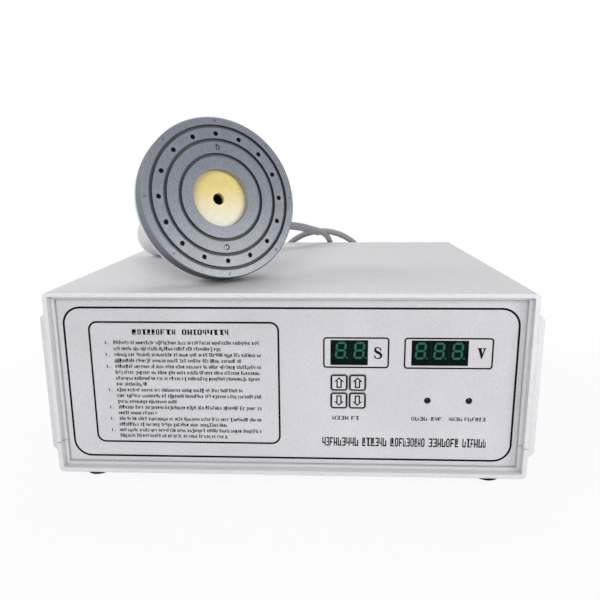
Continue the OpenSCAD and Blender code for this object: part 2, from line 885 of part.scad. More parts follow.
module display_block(x, w) {
    along_y(film_y + run_play, display_y - film_y - run_play)
        translate([x, foot_h + window_z])
            square([w - 2 * window_play, window_h - 2 * window_play], center = true);
}

module time_display() {
    color(part_black)
        display_block(time_x, time_w);
}

module voltage_display() {
    color(part_black)
        display_block(volt_x, volt_w);
}

module lamp(side) {
    lamp_tip_y = film_y + 0.4;
    lamp_len = display_y - lamp_tip_y - 1.5;
    at_lamp(side) {
        rod_y(lamp_tip_y + lamp_r, lamp_len - lamp_r, lamp_r);
        translate([0, lamp_tip_y + lamp_r, 0])
            sphere(lamp_r);
        rod_y(lamp_tip_y + lamp_len - 1, 1, lamp_r + 0.4);
        for (x = [-0.7, 0.7])
            translate([x, 0, 0])
                rod_y(lamp_tip_y + lamp_len - 0.5, 2, 0.3);
    }
}

module overheat_lamp() {
    color([0.75, 0.6, 0.15])
        lamp(-1);
}

module overcurrent_lamp() {
    color([0.6, 0.12, 0.1])
        lamp(1);
}

module display_board() {
    color(board_green)
        difference() {
            along_y(display_y, board_t)
                translate([display_board_left, foot_h + display_board_low])
                    square([display_board_w, display_board_high - display_board_low]);
            at_display_screws()
                rod_y(display_y - past, board_t + 2 * past, board_screw_r + skirt_gap / 2);
        }
}

module panel_spacers() {
    color(steel)
        at_display_screws()
            difference() {
                rod_y(panel_back_y, display_gap, spacer_r);
                rod_y(display_y - board_screw_len, board_screw_len + past, board_screw_r + run_play);
            }
}

module display_screws() {
    color(steel)
        at_display_screws() {
            rod_y(display_y + board_t - board_screw_len, board_screw_len, board_screw_r);
            rod_y(display_y + board_t, board_head_h, board_head_r);
        }
}

module tact_switches() {
    color(part_black)
        for (column = [-1, 1], row = [-1, 1])
            at_key(column, row)
                difference() {
                    along_y(tact_y, tact_h)
                        square(tact_w, center = true);
                    rod_y(tact_y - past, past + 2.4, stem_r + run_play);
                }
}

// A key with the stem that slides in its tact switch
module time_key(column, row) {
    key_y = film_y - key_rise;
    key_depth = key_rise + film_t + panel_t + 0.5;
    color(panel_silver)
        at_key(column, row) {
            along_y(key_y, key_depth)
                rounded_rect(key_w, key_h, key_r);
            rod_y(key_y + key_depth - 0.2, tact_y + 1.5 - key_y - key_depth + 0.2, stem_r);
        }
}

module tens_up_key() {
    time_key(-1, 1);
}

module units_up_key() {
    time_key(1, 1);
}

module tens_down_key() {
    time_key(-1, -1);
}

module units_down_key() {
    time_key(1, -1);
}

module buzzer() {
    color(part_black)
        translate([(time_x + volt_x) / 2, 0, foot_h + key_z])
            difference() {
                rod_y(display_y + board_t, buzzer_h, buzzer_r);
                rod_y(display_y + board_t + buzzer_h - 2, 2 + past, 1.2);
            }
}

// Power board and what stands on it
module power_board() {
    color(board_green)
        difference() {
            box([pcb_w, pcb_d, board_t], [0, pcb_y, pcb_z]);
            at_power_board_screws()
                translate([0, 0, pcb_z - past])
                    cylinder(h = board_t + 2 * past, r = board_screw_r + skirt_gap / 2);
        }
}

module board_screws() {
    color(steel)
        at_power_board_screws() {
            translate([0, 0, pcb_top - board_screw_len])
                cylinder(h = board_screw_len, r = board_screw_r);
            translate([0, 0, pcb_top])
                cylinder(h = board_head_h, r = board_head_r);
        }
}

module heat_sink() {
    color(steel)
        along_y(pcb_y - sink_len / 2, sink_len) {
            translate([sink_x - 2 * fin_t, pcb_top])
                square([2 * fin_t, sink_h]);
            for (i = [0:fin_count - 1])
                translate([sink_x - 2 * fin_t - fin_len, pcb_top + i * (sink_h - fin_t) / (fin_count - 1)])
                    square([fin_len + fin_t, fin_t]);
        }
}

// A flat power device on the face of the heat sink, with a row of legs into the board
module flat_device(y, w, h, t, legs, leg_pitch) {
    box([t, w, h], [sink_x + t / 2, y, pcb_top + legs_gap]);
    for (i = [0:legs - 1])
        box([0.8, 1.2, legs_gap + 1], [sink_x + t / 2, y + (i - (legs - 1) / 2) * leg_pitch, pcb_top]);
}

module power_transistors() {
    color(part_black)
        for (side = [-1, 1])
            flat_device(pcb_y - sink_len / 4 + side * (transistor_w + transistor_gap) / 2, transistor_w,
                transistor_h, transistor_t, 3, transistor_w / 3);
}

module bridge_rectifier() {
    color(part_black)
        flat_device(pcb_y + sink_len / 2 - bridge_w / 2 - transistor_t,
            bridge_w, bridge_h, bridge_t, 4, bridge_w / 4);
}

module filter_capacitor() {
    color([0.16, 0.2, 0.3])
        translate([can_x, pcb_y + pcb_d / 2 - filter_r - can_room, pcb_top])
            difference() {
                cylinder(h = filter_h, r = filter_r);
                translate([0, 0, filter_h - 4])
                    head_ring_groove(filter_r, 1, 1.5);
            }
}

// The rolled groove near the top of a can
module head_ring_groove(r, depth, w) {
    rotate_extrude()
        translate([r - depth, 0])
            square([2 * depth, w]);
}

module film_capacitors() {
    color([0.75, 0.62, 0.2])
        for (i = [-1, 0, 1])
            box([film_cap_len, film_cap_w, film_cap_h],
                [film_cap_x, film_cap_y + i * (film_cap_w + film_cap_gap), pcb_top]);
}

module choke() {
    color(copper)
        translate([can_x, pcb_y - pcb_d / 2 + choke_r + can_room, pcb_top])
            rotate_extrude()
                translate([(choke_r + choke_r / 2) / 2, choke_h / 2])
                    rounded_rect(choke_r / 2, choke_h, 3);
}

module control_transformer() {
    color([0.35, 0.36, 0.38])
        translate([pcb_w / 2 - core_inset, core_y, pcb_top]) {
            box([core_w, core_t, transformer_h], [0, 0, 0]);
            for (side = [-1, 1])
                box([core_w * 0.62, coil_t, transformer_h * 0.68],
                    [0, side * (core_t + coil_t) / 2, transformer_h * 0.16]);
            for (side = [-1, 1])
                box([core_w / 8, core_t + 1.2 * coil_t, core_t * 0.19], [side * core_w * 0.375, 0, 0]);
        }
}

// Rear panel and what is fixed to it
// Length of a slot that ends on the fan's duct at the given height
function grille_length(z) = 2 * sqrt(pow(duct_r - 1, 2) - pow(z, 2));

module grille_slots() {
    rows = floor((duct_r - grille_slot) / grille_pitch);
    for (i = [-rows:rows])
        translate([fan_x, foot_h + fan_z + i * grille_pitch])
            rotate(90)
                slot_outline(grille_slot, grille_length(abs(i) * grille_pitch + grille_slot / 2));
}

module rear_panel() {
    color(panel_silver)
        difference() {
            along_y(rear_inner_y, panel_t)
                panel_outline();
            along_y(rear_inner_y - past, panel_t + 2 * past) {
                grille_slots();
                translate([service_x, foot_h + inlet_z])
                    square([inlet_out_w + 2 * body_fit, inlet_out_h + 2 * body_fit], center = true);
                translate([service_x, foot_h + switch_z])
                    square([switch_w + 2 * body_fit, switch_h + 2 * body_fit], center = true);
            }
            at_fan_screws()
                rod_y(rear_inner_y - past, panel_t + 2 * past, fan_screw_r + skirt_gap / 2);
            translate([service_x, 0, foot_h + fuse_z])
                rod_y(rear_inner_y - past, panel_t + 2 * past, fuse_r + body_fit);
            translate([gland_x, 0, foot_h + gland_z])
                rod_y(rear_inner_y - past, panel_t + 2 * past, gland_thread_r() + body_fit);
        }
}

function gland_thread_r() = gland_flats / 2 - 1.5;

module fan_frame() {
    color(part_black)
        translate([fan_x, 0, foot_h + fan_z]) {
            difference() {
                along_y(fan_y, fan_t)
                    rounded_rect(fan_w, fan_w, 4);
                rod_y(fan_y - past, fan_t + 2 * past, duct_r);
                for (x = [-1, 1], z = [-1, 1])
                    translate([x * fan_screw_pitch / 2, 0, z * fan_screw_pitch / 2])
                        rod_y(fan_y - past, fan_t + 2 * past, fan_screw_r + run_play);
            }
            difference() {
                union() {
                    rod_y(fan_y, fan_base_t, fan_hub_r);
                    rod_y(fan_y, fan_base_t + 9, fan_shaft_r + 2);
                    for (a = [0:90:270])
                        rotate([0, a + 20, 0])
                            translate([fan_hub_r - 2, fan_y, -1.5])
                                cube([duct_r - fan_hub_r + 2.8, fan_base_t, 3]);
                }
                rod_y(fan_y + 1.5, fan_base_t + 10, fan_shaft_r + run_play);
            }
        }
}

module fan_rotor() {
    rotor_y = fan_y + fan_base_t + fan_hub_gap;
    rotor_len = fan_t - fan_base_t - fan_hub_gap - 1.5;
    blade_r = duct_r - fan_tip_gap;
    color(part_black)
        translate([fan_x, 0, foot_h + fan_z]) {
            difference() {
                rod_y(rotor_y, rotor_len, fan_hub_r);
                rod_y(rotor_y - past, rotor_len - 2 + past, fan_hub_r - 1.6);
            }
            rod_y(fan_y + 1.8, fan_t - 4.8, fan_shaft_r);
            intersection() {
                difference() {
                    rod_y(rotor_y, rotor_len, blade_r);
                    rod_y(rotor_y - past, rotor_len + 2 * past, fan_hub_r - 0.8);
                }
                for (i = [0:fan_blades - 1])
                    rotate([0, i * 360 / fan_blades, 0])
                        translate([0, rotor_y + rotor_len / 2, 0])
                            rotate([40, 0, 0])
                                translate([fan_hub_r - 3, -fan_blade_t / 2, -fan_blade_w / 2])
                                    cube([blade_r, fan_blade_t, fan_blade_w]);
            }
        }
}

module fan_screws() {
    color(steel)
        at_fan_screws() {
            rod_y(rear_face_y - fan_screw_len, fan_screw_len, fan_screw_r);
            rod_y(rear_face_y, fan_screw_r * 1.1, fan_screw_r * 1.9);
        }
}

module switch_body() {
    color(part_black)
        translate([service_x, 0, foot_h + switch_z])
            difference() {
                union() {
                    along_y(rear_face_y - 14, 14)
                        square([switch_w, switch_h], center = true);
                    along_y(rear_face_y, flange_t)
                        rounded_rect(switch_w + 2 * flange_w, switch_h + 2 * flange_w, 1);
                }
                translate([0, rocker_y, 0])
                    rod_x(-rocker_w / 2 - rocker_play, rocker_w + 2 * rocker_play, rocker_r + rocker_play);
                along_y(rocker_y, rear_face_y - rocker_y + flange_t + past)
                    square([rocker_w + 2 * rocker_play, 2 * (rocker_r + rocker_play)], center = true);
                translate([0, rocker_y, 0])
                    rod_x(-pivot_len / 2 - 0.1, pivot_len + 0.2, rocker_pin_r + run_play);
            }
}

// The rocker's two faces meet in a shallow valley, and it rests tipped to one side
module switch_rocker() {
    valley = rear_face_y + flange_t + 0.8 - rocker_y;
    rise = rocker_r * tan(rocker_tilt);
    color([0.16, 0.16, 0.17])
        translate([service_x, rocker_y, foot_h + switch_z])
            rotate([rocker_tilt, 0, 0]) {
                rod_x(-pivot_len / 2, pivot_len, rocker_pin_r);
                along_x(-rocker_w / 2, rocker_w)
                    intersection() {
                        circle(rocker_r);
                        polygon([
                            [-rocker_r, -rocker_r], [valley + rise, -rocker_r], [valley, 0],
                            [valley + rise, rocker_r], [-rocker_r, rocker_r]
                        ]);
                    }
            }
}

module mains_inlet() {
    color(part_black)
        translate([service_x, 0, foot_h + inlet_z])
            difference() {
                union() {
                    along_y(inlet_back_y, inlet_depth + inlet_wall)
                        square([inlet_out_w, inlet_out_h], center = true);
                    along_y(rear_face_y, flange_t)
                        rounded_rect(inlet_out_w + 2 * flange_w, inlet_out_h + 2 * flange_w, 1.5);
                }
                along_y(rear_face_y + flange_t - inlet_depth, inlet_depth + past)
                    polygon([
                        [-inlet_w / 2, -inlet_h / 2], [inlet_w / 2, -inlet_h / 2],
                        [inlet_w / 2, inlet_h / 2 - 5], [inlet_w / 2 - 5, inlet_h / 2],
                        [-inlet_w / 2 + 5, inlet_h / 2], [-inlet_w / 2, inlet_h / 2 - 5]
                    ]);
                for (at = pin_places())
                    along_y(inlet_back_y - past, inlet_depth)
                        translate(at)
                            square([2 + 2 * body_fit, 4 + 2 * body_fit], center = true);
            }
}

function pin_places() = [[-7, -2], [0, 2], [7, -2]];

module inlet_pins() {
    color(steel)
        translate([service_x, 0, foot_h + inlet_z])
            for (at = pin_places()) {
                along_y(inlet_back_y - 6, inlet_depth + 4)
                    translate(at)
                        square([2, 4], center = true);
                along_y(inlet_back_y - 1, 1)
                    translate(at)
                        square([3.4, 5.4], center = true);
            }
}

module fuse_holder() {
    color(part_black)
        translate([service_x, 0, foot_h + fuse_z])
            difference() {
                union() {
                    rod_y(rear_face_y - fuse_depth, fuse_depth, fuse_r);
                    rod_y(rear_face_y, flange_t, fuse_r + 2);
                }
                rod_y(rear_face_y - fuse_depth + fuse_floor, fuse_depth + flange_t, fuse_r - 1.6);
            }
}

module fuse_link() {
    color([0.8, 0.82, 0.82])
        translate([service_x, 0, foot_h + fuse_z])
            rod_y(rear_face_y - fuse_depth + fuse_floor, fuse_len, fuse_link_r);
}

module fuse_cap() {
    plug_len = fuse_depth - fuse_len - fuse_floor + flange_t;
    color(part_black)
        translate([service_x, 0, foot_h + fuse_z])
            difference() {
                union() {
                    rod_y(rear_face_y + flange_t, fuse_cap_h, fuse_r - 0.4);
                    rod_y(rear_face_y + flange_t - plug_len, plug_len + past, fuse_r - 1.6 - run_play);
                }
                along_y(rear_face_y + flange_t + fuse_cap_h - 1.2, 1.2 + past)
                    square([2 * fuse_r, 1.4], center = true);
            }
}

module lead_gland() {
    hex_r = gland_flats / 2 / cos(30);
    color([0.3, 0.3, 0.31])
        translate([gland_x, 0, foot_h + gland_z])
            rotate([-90, 0, 0]) {
                translate([0, 0, rear_inner_y - 7])
                    cylinder(h = 7 + panel_t + 1, r = gland_thread_r());
                translate([0, 0, rear_face_y])
                    cylinder(h = gland_hex_h, r = hex_r, $fn = 6);
                translate([0, 0, rear_face_y + gland_hex_h - 0.5])
                    cylinder(h = gland_dome_h / 2 + 0.5, r = gland_flats / 2 - 0.4);
                translate([0, 0, rear_face_y + gland_hex_h + gland_dome_h / 2])
                    cylinder(h = gland_dome_h / 2, r1 = gland_flats / 2 - 0.4, r2 = lead_r + 0.8);
            }
}

module gland_locknut() {
    color([0.3, 0.3, 0.31])
        translate([gland_x, 0, foot_h + gland_z])
            rotate([-90, 0, 0])
                translate([0, 0, rear_inner_y - 4])
                    difference() {
                        cylinder(h = 4, r = gland_flats / 2 / cos(30), $fn = 6);
                        translate([0, 0, -past])
                            cylinder(h = 4 + 2 * past, r = gland_thread_r() + run_play);
                    }
}

// Sealing head
module head_face() {
    color(face_grey)
        on_head()
            difference() {
                rotate_extrude()
                    polygon([
                        [bore_r, 0], [face_r - face_chamfer, 0], [face_r, -face_chamfer],
                        [face_r, -face_wall_h + face_chamfer], [face_r - face_chamfer, -face_wall_h],
                        [face_r - face_wall, -face_wall_h], [face_r - face_wall, -plate_t],
                        [hub_r, -plate_t], [hub_r, -hub_len], [ledge_r, -hub_len], [ledge_r, -disc_set - disc_t],
                        [bore_r, -disc_set - disc_t]
                    ]);
                for (r = [groove_in_r, groove_mid_r, groove_out_r])
                    head_ring(r - groove_w / 2, r + groove_w / 2, -past, groove_d + past);
                for (i = [0:hole_count - 1])
                    rotate([0, 0, face_phase + i * 360 / hole_count])
                        translate([hole_circle_r, 0, -plate_t - past])
                            cylinder(h = plate_t + 2 * past, r = hole_r);
                for (i = [0:7])
                    rotate([0, 0, face_phase + i * 45])
                        translate([(groove_out_r + groove_w / 2 + face_r) / 2, 0, -0.4])
                            cylinder(h = past, r = 0.7);
                at_face_screws() {
                    translate([0, 0, -plate_t - past])
                        cylinder(h = plate_t + 2 * past, r = face_screw_r + body_fit);
                    translate([0, 0, -face_seat])
                        cylinder(h = past + face_seat, r = face_head_r + face_head_gap);
                }
            }
}

module at_face_screws() {
    for (side = [90, 270])
        rotate([0, 0, face_phase + side])
            translate([face_screw_circle_r, 0, 0])
                children();
}

module face_screws() {
    color(steel)
        on_head()
            at_face_screws()
                difference() {
                    union() {
                        translate([0, 0, -face_seat])
                            cylinder(h = face_seat - face_sink, r = face_head_r);
                        translate([0, 0, -face_screw_len])
                            cylinder(h = face_screw_len - face_seat, r = face_screw_r);
                    }
                    box([2 * face_head_r, 0.5, past], [0, 0, -face_sink - 0.5]);
                }
}

module centre_disc() {
    color([0.86, 0.74, 0.42])
        on_head()
            head_ring(disc_hole_r, bore_r - lay_play / 2, disc_set, disc_t);
}

module head_winding() {
    color(copper)
        on_head()
            head_ring(winding_in_r, winding_out_r, winding_at, winding_h);
}

module winding_former() {
    color([0.85, 0.83, 0.76])
        on_head()
            difference() {
                head_ring(hub_r + lay_play, winding_out_r, former_at, former_t);
                at_face_screws()
                    translate([0, 0, -former_at - former_t - past])
                        cylinder(h = former_t + 2 * past, r = face_screw_r + body_fit);
            }
}

module ferrite_bars() {
    bar_len = winding_out_r - hub_r - 4;
    color([0.2, 0.2, 0.22])
        on_head()
            for (i = [0:ferrite_count - 1])
                rotate([0, 0, face_phase + i * 360 / ferrite_count])
                    translate([hub_r + 2, -4, -ferrite_at - ferrite_t])
                        cube([bar_len, 8, ferrite_t]);
}

// Outline of the rear cover's dome from its rim to the collar, moved in by the wall for the hollow
function dome_point(a, inset) = [
    collar_r + (rim_r - collar_r) * cos(a) - inset * cos(a) * 1.1,
    -dome_at - (dome_h - inset) * sin(a)
];

module dome_outline(inset) {
    polygon(concat(
        [[0, -face_wall_h + inset], [rim_r - inset * 1.1, -face_wall_h + inset]],
        [for (a = [0:dome_step:90]) dome_point(a, inset)],
        [[0, -dome_at - dome_h + inset]]
    ));
}

module rear_cover() {
    color(case_grey)
        on_head()
            difference() {
                union() {
                    difference() {
                        union() {
                            rotate_extrude()
                                dome_outline(0);
                            head_ring(0, collar_r, collar_at, collar_h);
                        }
                        rotate_extrude()
                            dome_outline(handle_wall);
                    }
                    difference() {
                        at_face_screws()
                            translate([0, 0, -dome_at - dome_h])
                                cylinder(h = dome_at + dome_h - ferrite_at, r = cover_boss_r);
                        difference() {
                            head_ring(0, face_r, dome_at, dome_h + past);
                            rotate_extrude()
                                dome_outline(handle_wall / 2);
                        }
                    }
                }
                head_ring(0, handle_inner_r, collar_at - past, 3 * past);
                head_ring(0, handle_r + lay_play / 2, handle_at, collar_h);
                at_face_screws()
                    translate([0, 0, -face_screw_len - past])
                        cylinder(h = face_screw_len, r = face_screw_r + run_play);
            }
}

// The handle's half section, moved in by the wall for its hollow
module handle_outline(inset) {
    translate([0, -handle_len + inset])
        square([handle_r - end_r, handle_len - inset - handle_at]);
    translate([0, -handle_len + end_r])
        square([handle_r - inset, handle_len - end_r - handle_at]);
    translate([handle_r - end_r, -handle_len + end_r])
        circle(end_r - inset);
}

module trigger_outline(grow) {
    translate([0, -trigger_at])
        rounded_rect(trigger_w + 2 * grow, trigger_len + 2 * grow, 4 + grow);
}

module handle() {
    color(case_grey)
        on_head()
            difference() {
                union() {
                    difference() {
                        union() {
                            rotate_extrude()
                                handle_outline(0);
                            translate([0, 0, -outlet_at])
                                rod_x(outlet_flat, handle_r + outlet_rise - outlet_flat, outlet_r);
                        }
                        difference() {
                            rotate_extrude()
                                handle_outline(handle_wall);
                            translate([0, 0, -outlet_at])
                                rod_x(outlet_flat, handle_r, outlet_r);
                        }
                        head_ring(0, handle_inner_r, handle_at - past, 2 * past);
                    }
                    intersection() {
                        rotate_extrude()
                            handle_outline(handle_wall / 2);
                        translate([-handle_r, shelf_y - shelf_t, -trigger_at - trigger_len / 2])
                            cube([2 * handle_r, shelf_t, trigger_len]);
                    }
                }
                along_y(0, 2 * handle_r)
                    trigger_outline(trigger_play);
                translate([0, 0, -outlet_at])
                    rod_x(outlet_flat - past, handle_r, relief_neck_r + run_play);
            }
}

module trigger_button() {
    stem_y = shelf_y + micro_h + trigger_travel + 0.4;
    color([0.5, 0.12, 0.1])
        on_head() {
            along_y(flange_y - past, handle_r + trigger_rise - flange_y + past)
                trigger_outline(0);
            along_y(flange_y - trigger_flange_t, trigger_flange_t)
                trigger_outline(1.2);
            translate([0, 0, -trigger_at])
                rod_y(stem_y, flange_y - past - stem_y, 1.8);
        }
}

module trigger_spring() {
    low_y = shelf_y + micro_h + 0.45;
    high_y = flange_y - trigger_flange_t - 0.45;
    turns = 4;
    steps = 14;
    sides = 8;
    coil_r = 2.8;
    wire_r = 0.35;
    points = [for (i = [0:turns * steps], k = [0:sides - 1])
        let (a = i * 360 / steps, c = k * 360 / sides)
        [
            (coil_r + wire_r * cos(c)) * cos(a),
            low_y + (high_y - low_y) * i / (turns * steps) + wire_r * sin(c),
            -trigger_at + (coil_r + wire_r * cos(c)) * sin(a)
        ]];
    color(steel)
        on_head()
            swept_tube(points, sides);
}

module trigger_switch() {
    color(part_black)
        on_head()
            translate([0, 0, -trigger_at])
                along_y(shelf_y, micro_h)
                    square([micro_w, micro_len], center = true);
}

module strain_relief() {
    relief_x = handle_r + outlet_rise;
    color(lead_grey)
        on_head()
            translate([0, 0, -outlet_at]) {
                rod_x(outlet_flat - 2, 2, relief_neck_r + 1.6);
                rod_x(outlet_flat - past, relief_x - outlet_flat + 2 * past, relief_neck_r);
                difference() {
                    translate([relief_x, 0, 0])
                        rotate([0, 90, 0])
                            cylinder(h = relief_len, r1 = relief_r, r2 = sleeve_r + 0.6);
                    for (i = [1:5])
                        translate([relief_x + i * relief_len / 7, 0, 0])
                            rotate([0, 90, 0])
                                rotate_extrude()
                                    translate([sleeve_r + 0.1, 0])
                                        square([4, 1.4]);
                }
            }
}

// Lead
module lead_sleeve() {
    color(lead_grey)
        lead_tube(lead_sleeve_route, [0, 0, 1], sleeve_r);
}

module lead_upper() {
    color(lead_grey)
        lead_tube(lead_upper_route, [0.5, -0.85, 0.1], lead_r);
}

module lead_lower() {
    color(lead_grey)
        lead_tube(lead_lower_route, [0, 0, 1], lead_r);
}

module hank_outline(inset) {
    translate([hank_x, hank_h / 2])
        slot_outline(2 * (hank_r - inset), hank_h - 2 * inset);
}

module lead_hank() {
    color(lead_grey)
        along_y(hank_y, hank_t)
            difference() {
                hank_outline(0);
                hank_outline(hank_ring_w);
            }
}

module hank_ties() {
    hole_w = hank_ring_w + 2 * body_fit;
    hole_t = hank_t + 2 * body_fit;
    color(part_black)
        for (side = [-1, 1])
            translate([hank_x + side * (hank_r - hank_ring_w / 2), hank_y + hank_t / 2, (hank_h - tie_h) / 2])
                linear_extrude(tie_h)
                    difference() {
                        rounded_rect(hole_w + 2 * tie_t, hole_t + 2 * tie_t, 1);
                        square([hole_w, hole_t], center = true);
                    }
}

cover_shell();
base_shell();
front_panel();
panel_film();
rear_panel();
rubber_feet();
case_screws();
display_board();
panel_spacers();
display_screws();
time_display();
voltage_display();
overheat_lamp();
overcurrent_lamp();
tact_switches();
tens_up_key();
units_up_key();
tens_down_key();
units_down_key();
buzzer();
power_board();
board_screws();
heat_sink();
power_transistors();
bridge_rectifier();
filter_capacitor();
film_capacitors();
choke();
control_transformer();
fan_frame();
fan_rotor();
fan_screws();
switch_body();
switch_rocker();
mains_inlet();
inlet_pins();
fuse_holder();
fuse_link();
fuse_cap();
lead_gland();
gland_locknut();
head_face();
centre_disc();
head_winding();
winding_former();
ferrite_bars();
rear_cover();
face_screws();
handle();
trigger_button();
trigger_spring();
trigger_switch();
strain_relief();
lead_sleeve();
lead_upper();
lead_hank();
lead_lower();
hank_ties();
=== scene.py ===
import json
import math
import random

import bpy
from mathutils import Matrix, Vector


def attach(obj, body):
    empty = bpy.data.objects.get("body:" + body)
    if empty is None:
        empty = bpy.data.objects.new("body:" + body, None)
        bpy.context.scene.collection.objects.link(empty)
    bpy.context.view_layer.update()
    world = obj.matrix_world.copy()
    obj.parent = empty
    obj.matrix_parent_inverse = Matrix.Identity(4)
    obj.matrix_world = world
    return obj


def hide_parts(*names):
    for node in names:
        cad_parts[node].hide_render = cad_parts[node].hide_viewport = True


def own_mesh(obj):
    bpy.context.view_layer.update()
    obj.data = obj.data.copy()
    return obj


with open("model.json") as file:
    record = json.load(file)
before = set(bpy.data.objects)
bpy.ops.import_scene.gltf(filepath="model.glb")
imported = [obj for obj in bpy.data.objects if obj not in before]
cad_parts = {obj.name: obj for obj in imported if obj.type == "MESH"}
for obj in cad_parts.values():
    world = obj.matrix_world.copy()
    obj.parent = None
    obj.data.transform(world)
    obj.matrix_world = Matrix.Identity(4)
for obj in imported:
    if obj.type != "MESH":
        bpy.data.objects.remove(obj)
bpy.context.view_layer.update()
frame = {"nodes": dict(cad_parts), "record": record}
nodes = frame["nodes"]
MM = 0.001

# Camera of the photograph: focal length in pixels, place in millimetres, angles in degrees
PAGE_PX = 600
SENSOR_MM = 36
FOCAL_PX = 578.763
CAMERA_AT = Vector((22.63, -441.76, 184.79))
YAW, PITCH, ROLL = (math.radians(a) for a in (-2.6851, 12.4345, -0.4203))

# Faces of the CAD model that the print lies on, and the case's underside, in millimetres
FILM_Y = -115.6
KEY_Y = -115.9
UNDERSIDE = 5.0
INK_PROUD = 0.03

# Sealing head: middle of its face in metres, its axis, and the direction up along its face
HEAD_AT = (-0.0421, -0.0813, 0.17025)
HEAD_AXIS = (0.529849, -0.809694, 0.2523)
HEAD_UP = (-0.13815, 0.211115, 0.967649)


# Shader nodes
BLACK, WHITE = (0.0, 0.0, 0.0), (1.0, 1.0, 1.0)
MIX_FACTOR, MIX_A, MIX_B, MIX_RESULT = 0, 6, 7, 2     # sockets of a Mix node that mixes colours
GRAIN_RELIEF = 0.0002                                 # metres of relief at full bump strength
BEVEL_SAMPLES, CREASE_SAMPLES = 4, 8
CREASE_START, CREASE_END = 0.35, 0.92                 # occlusion over which painted shade darkens a corner


def new_material(name):
    mat = bpy.data.materials.new(name)
    mat.use_nodes = True
    tree = mat.node_tree
    tree.nodes.clear()
    out = tree.nodes.new("ShaderNodeOutputMaterial")
    shader = tree.nodes.new("ShaderNodeBsdfPrincipled")
    tree.links.new(shader.outputs["BSDF"], out.inputs["Surface"])
    return mat, tree, shader


def object_point(tree):
    """The place of the shaded point in the part's frame, in metres."""
    return tree.nodes.new("ShaderNodeTexCoord").outputs["Object"]


def noise(tree, scale, detail=4.0, rough=0.55, stretch=None):
    tex = tree.nodes.new("ShaderNodeTexNoise")
    tex.inputs["Scale"].default_value = scale
    tex.inputs["Detail"].default_value = detail
    tex.inputs["Roughness"].default_value = rough
    point = object_point(tree)
    if stretch:
        mapping = tree.nodes.new("ShaderNodeMapping")
        mapping.inputs["Scale"].default_value = stretch
        tree.links.new(point, mapping.inputs["Vector"])
        point = mapping.outputs["Vector"]
    tree.links.new(point, tex.inputs["Vector"])
    return tex.outputs["Fac"]


def ramp(tree, value, low, high, start=0.3, end=0.7):
    """A colour that runs from low to high while the value runs from start to end."""
    node = tree.nodes.new("ShaderNodeValToRGB")
    first, last = node.color_ramp.elements
    first.position, last.position = start, end
    first.color, last.color = (*low, 1), (*high, 1)
    tree.links.new(value, node.inputs["Fac"])
    return node.outputs["Color"]


def span(tree, value, low, high, start=0.0, end=1.0):
    """A number that runs from low to high while the value runs from start to end."""
    node = tree.nodes.new("ShaderNodeMapRange")
    node.inputs["From Min"].default_value = start
    node.inputs["From Max"].default_value = end
    node.inputs["To Min"].default_value = low
    node.inputs["To Max"].default_value = high
    tree.links.new(value, node.inputs["Value"])
    return node.outputs["Result"]


def mix(tree, kind, fac, a, b):
    node = tree.nodes.new("ShaderNodeMix")
    node.data_type = "RGBA"
    node.blend_type = kind
    for index, value in ((MIX_FACTOR, fac), (MIX_A, a), (MIX_B, b)):
        socket = node.inputs[index]
        if hasattr(value, "is_output"):
            tree.links.new(value, socket)
        elif isinstance(value, (int, float)):
            socket.default_value = value
        else:
            socket.default_value = (*value, 1)
    return node.outputs[MIX_RESULT]


def vector_math(tree, operation, a, b=None):
    node = tree.nodes.new("ShaderNodeVectorMath")
    node.operation = operation
    tree.links.new(a, node.inputs[0])
    if b is not None:
        node.inputs[1].default_value = b
    return node


def math_node(tree, operation, a, b):
    node = tree.nodes.new("ShaderNodeMath")
    node.operation = operation
    tree.links.new(a, node.inputs[0])
    tree.links.new(b, node.inputs[1])
    return node.outputs[0]


def srgb(r, g, b):
    out = []
    for c in (r, g, b):
        c /= 255
        out.append(c / 12.92 if c <= 0.04045 else ((c + 0.055) / 1.055) ** 2.4)
    return tuple(out)


def grey(level):
    return (level,) * 3


def shade(colour, k):
    return tuple(min(1.0, c * k) for c in colour)


def along(tree, axis, start, end):
    """A value that runs from 0 to 1 between two distances, in metres, along an axis of the part."""
    dot = vector_math(tree, "DOT_PRODUCT", object_point(tree), axis)
    return span(tree, dot.outputs["Value"], 0.0, 1.0, start, end)


def painted_corner_shade(tree, tone, reach_mm, dark):
    """Painted shade in narrow corners: the tone falls to the share dark where neighbours are in reach."""
    node = tree.nodes.new("ShaderNodeAmbientOcclusion")
    node.samples = CREASE_SAMPLES
    node.inputs["Distance"].default_value = reach_mm * MM
    open_share = ramp(tree, node.outputs["AO"], grey(dark), WHITE, CREASE_START, CREASE_END)
    return mix(tree, "MULTIPLY", 1.0, tone, open_share)


def relief(tree, shader, height, strength, round_mm):
    """Bump from a height, over edges that are rounded in the shading."""
    bump = tree.nodes.new("ShaderNodeBump")
    bump.inputs["Strength"].default_value = strength
    bump.inputs["Distance"].default_value = GRAIN_RELIEF
    tree.links.new(height, bump.inputs["Height"])
    if round_mm:
        soft = tree.nodes.new("ShaderNodeBevel")
        soft.samples = BEVEL_SAMPLES
        soft.inputs["Radius"].default_value = round_mm * MM
        tree.links.new(soft.outputs["Normal"], bump.inputs["Normal"])
    tree.links.new(bump.outputs["Normal"], shader.inputs["Normal"])


# Materials
CLOUD_SCALE, WEAR_SCALE = 22.0, 260.0     # noise of the cloudy tone and of the worn patches
ROUGH_VARIES = 0.08


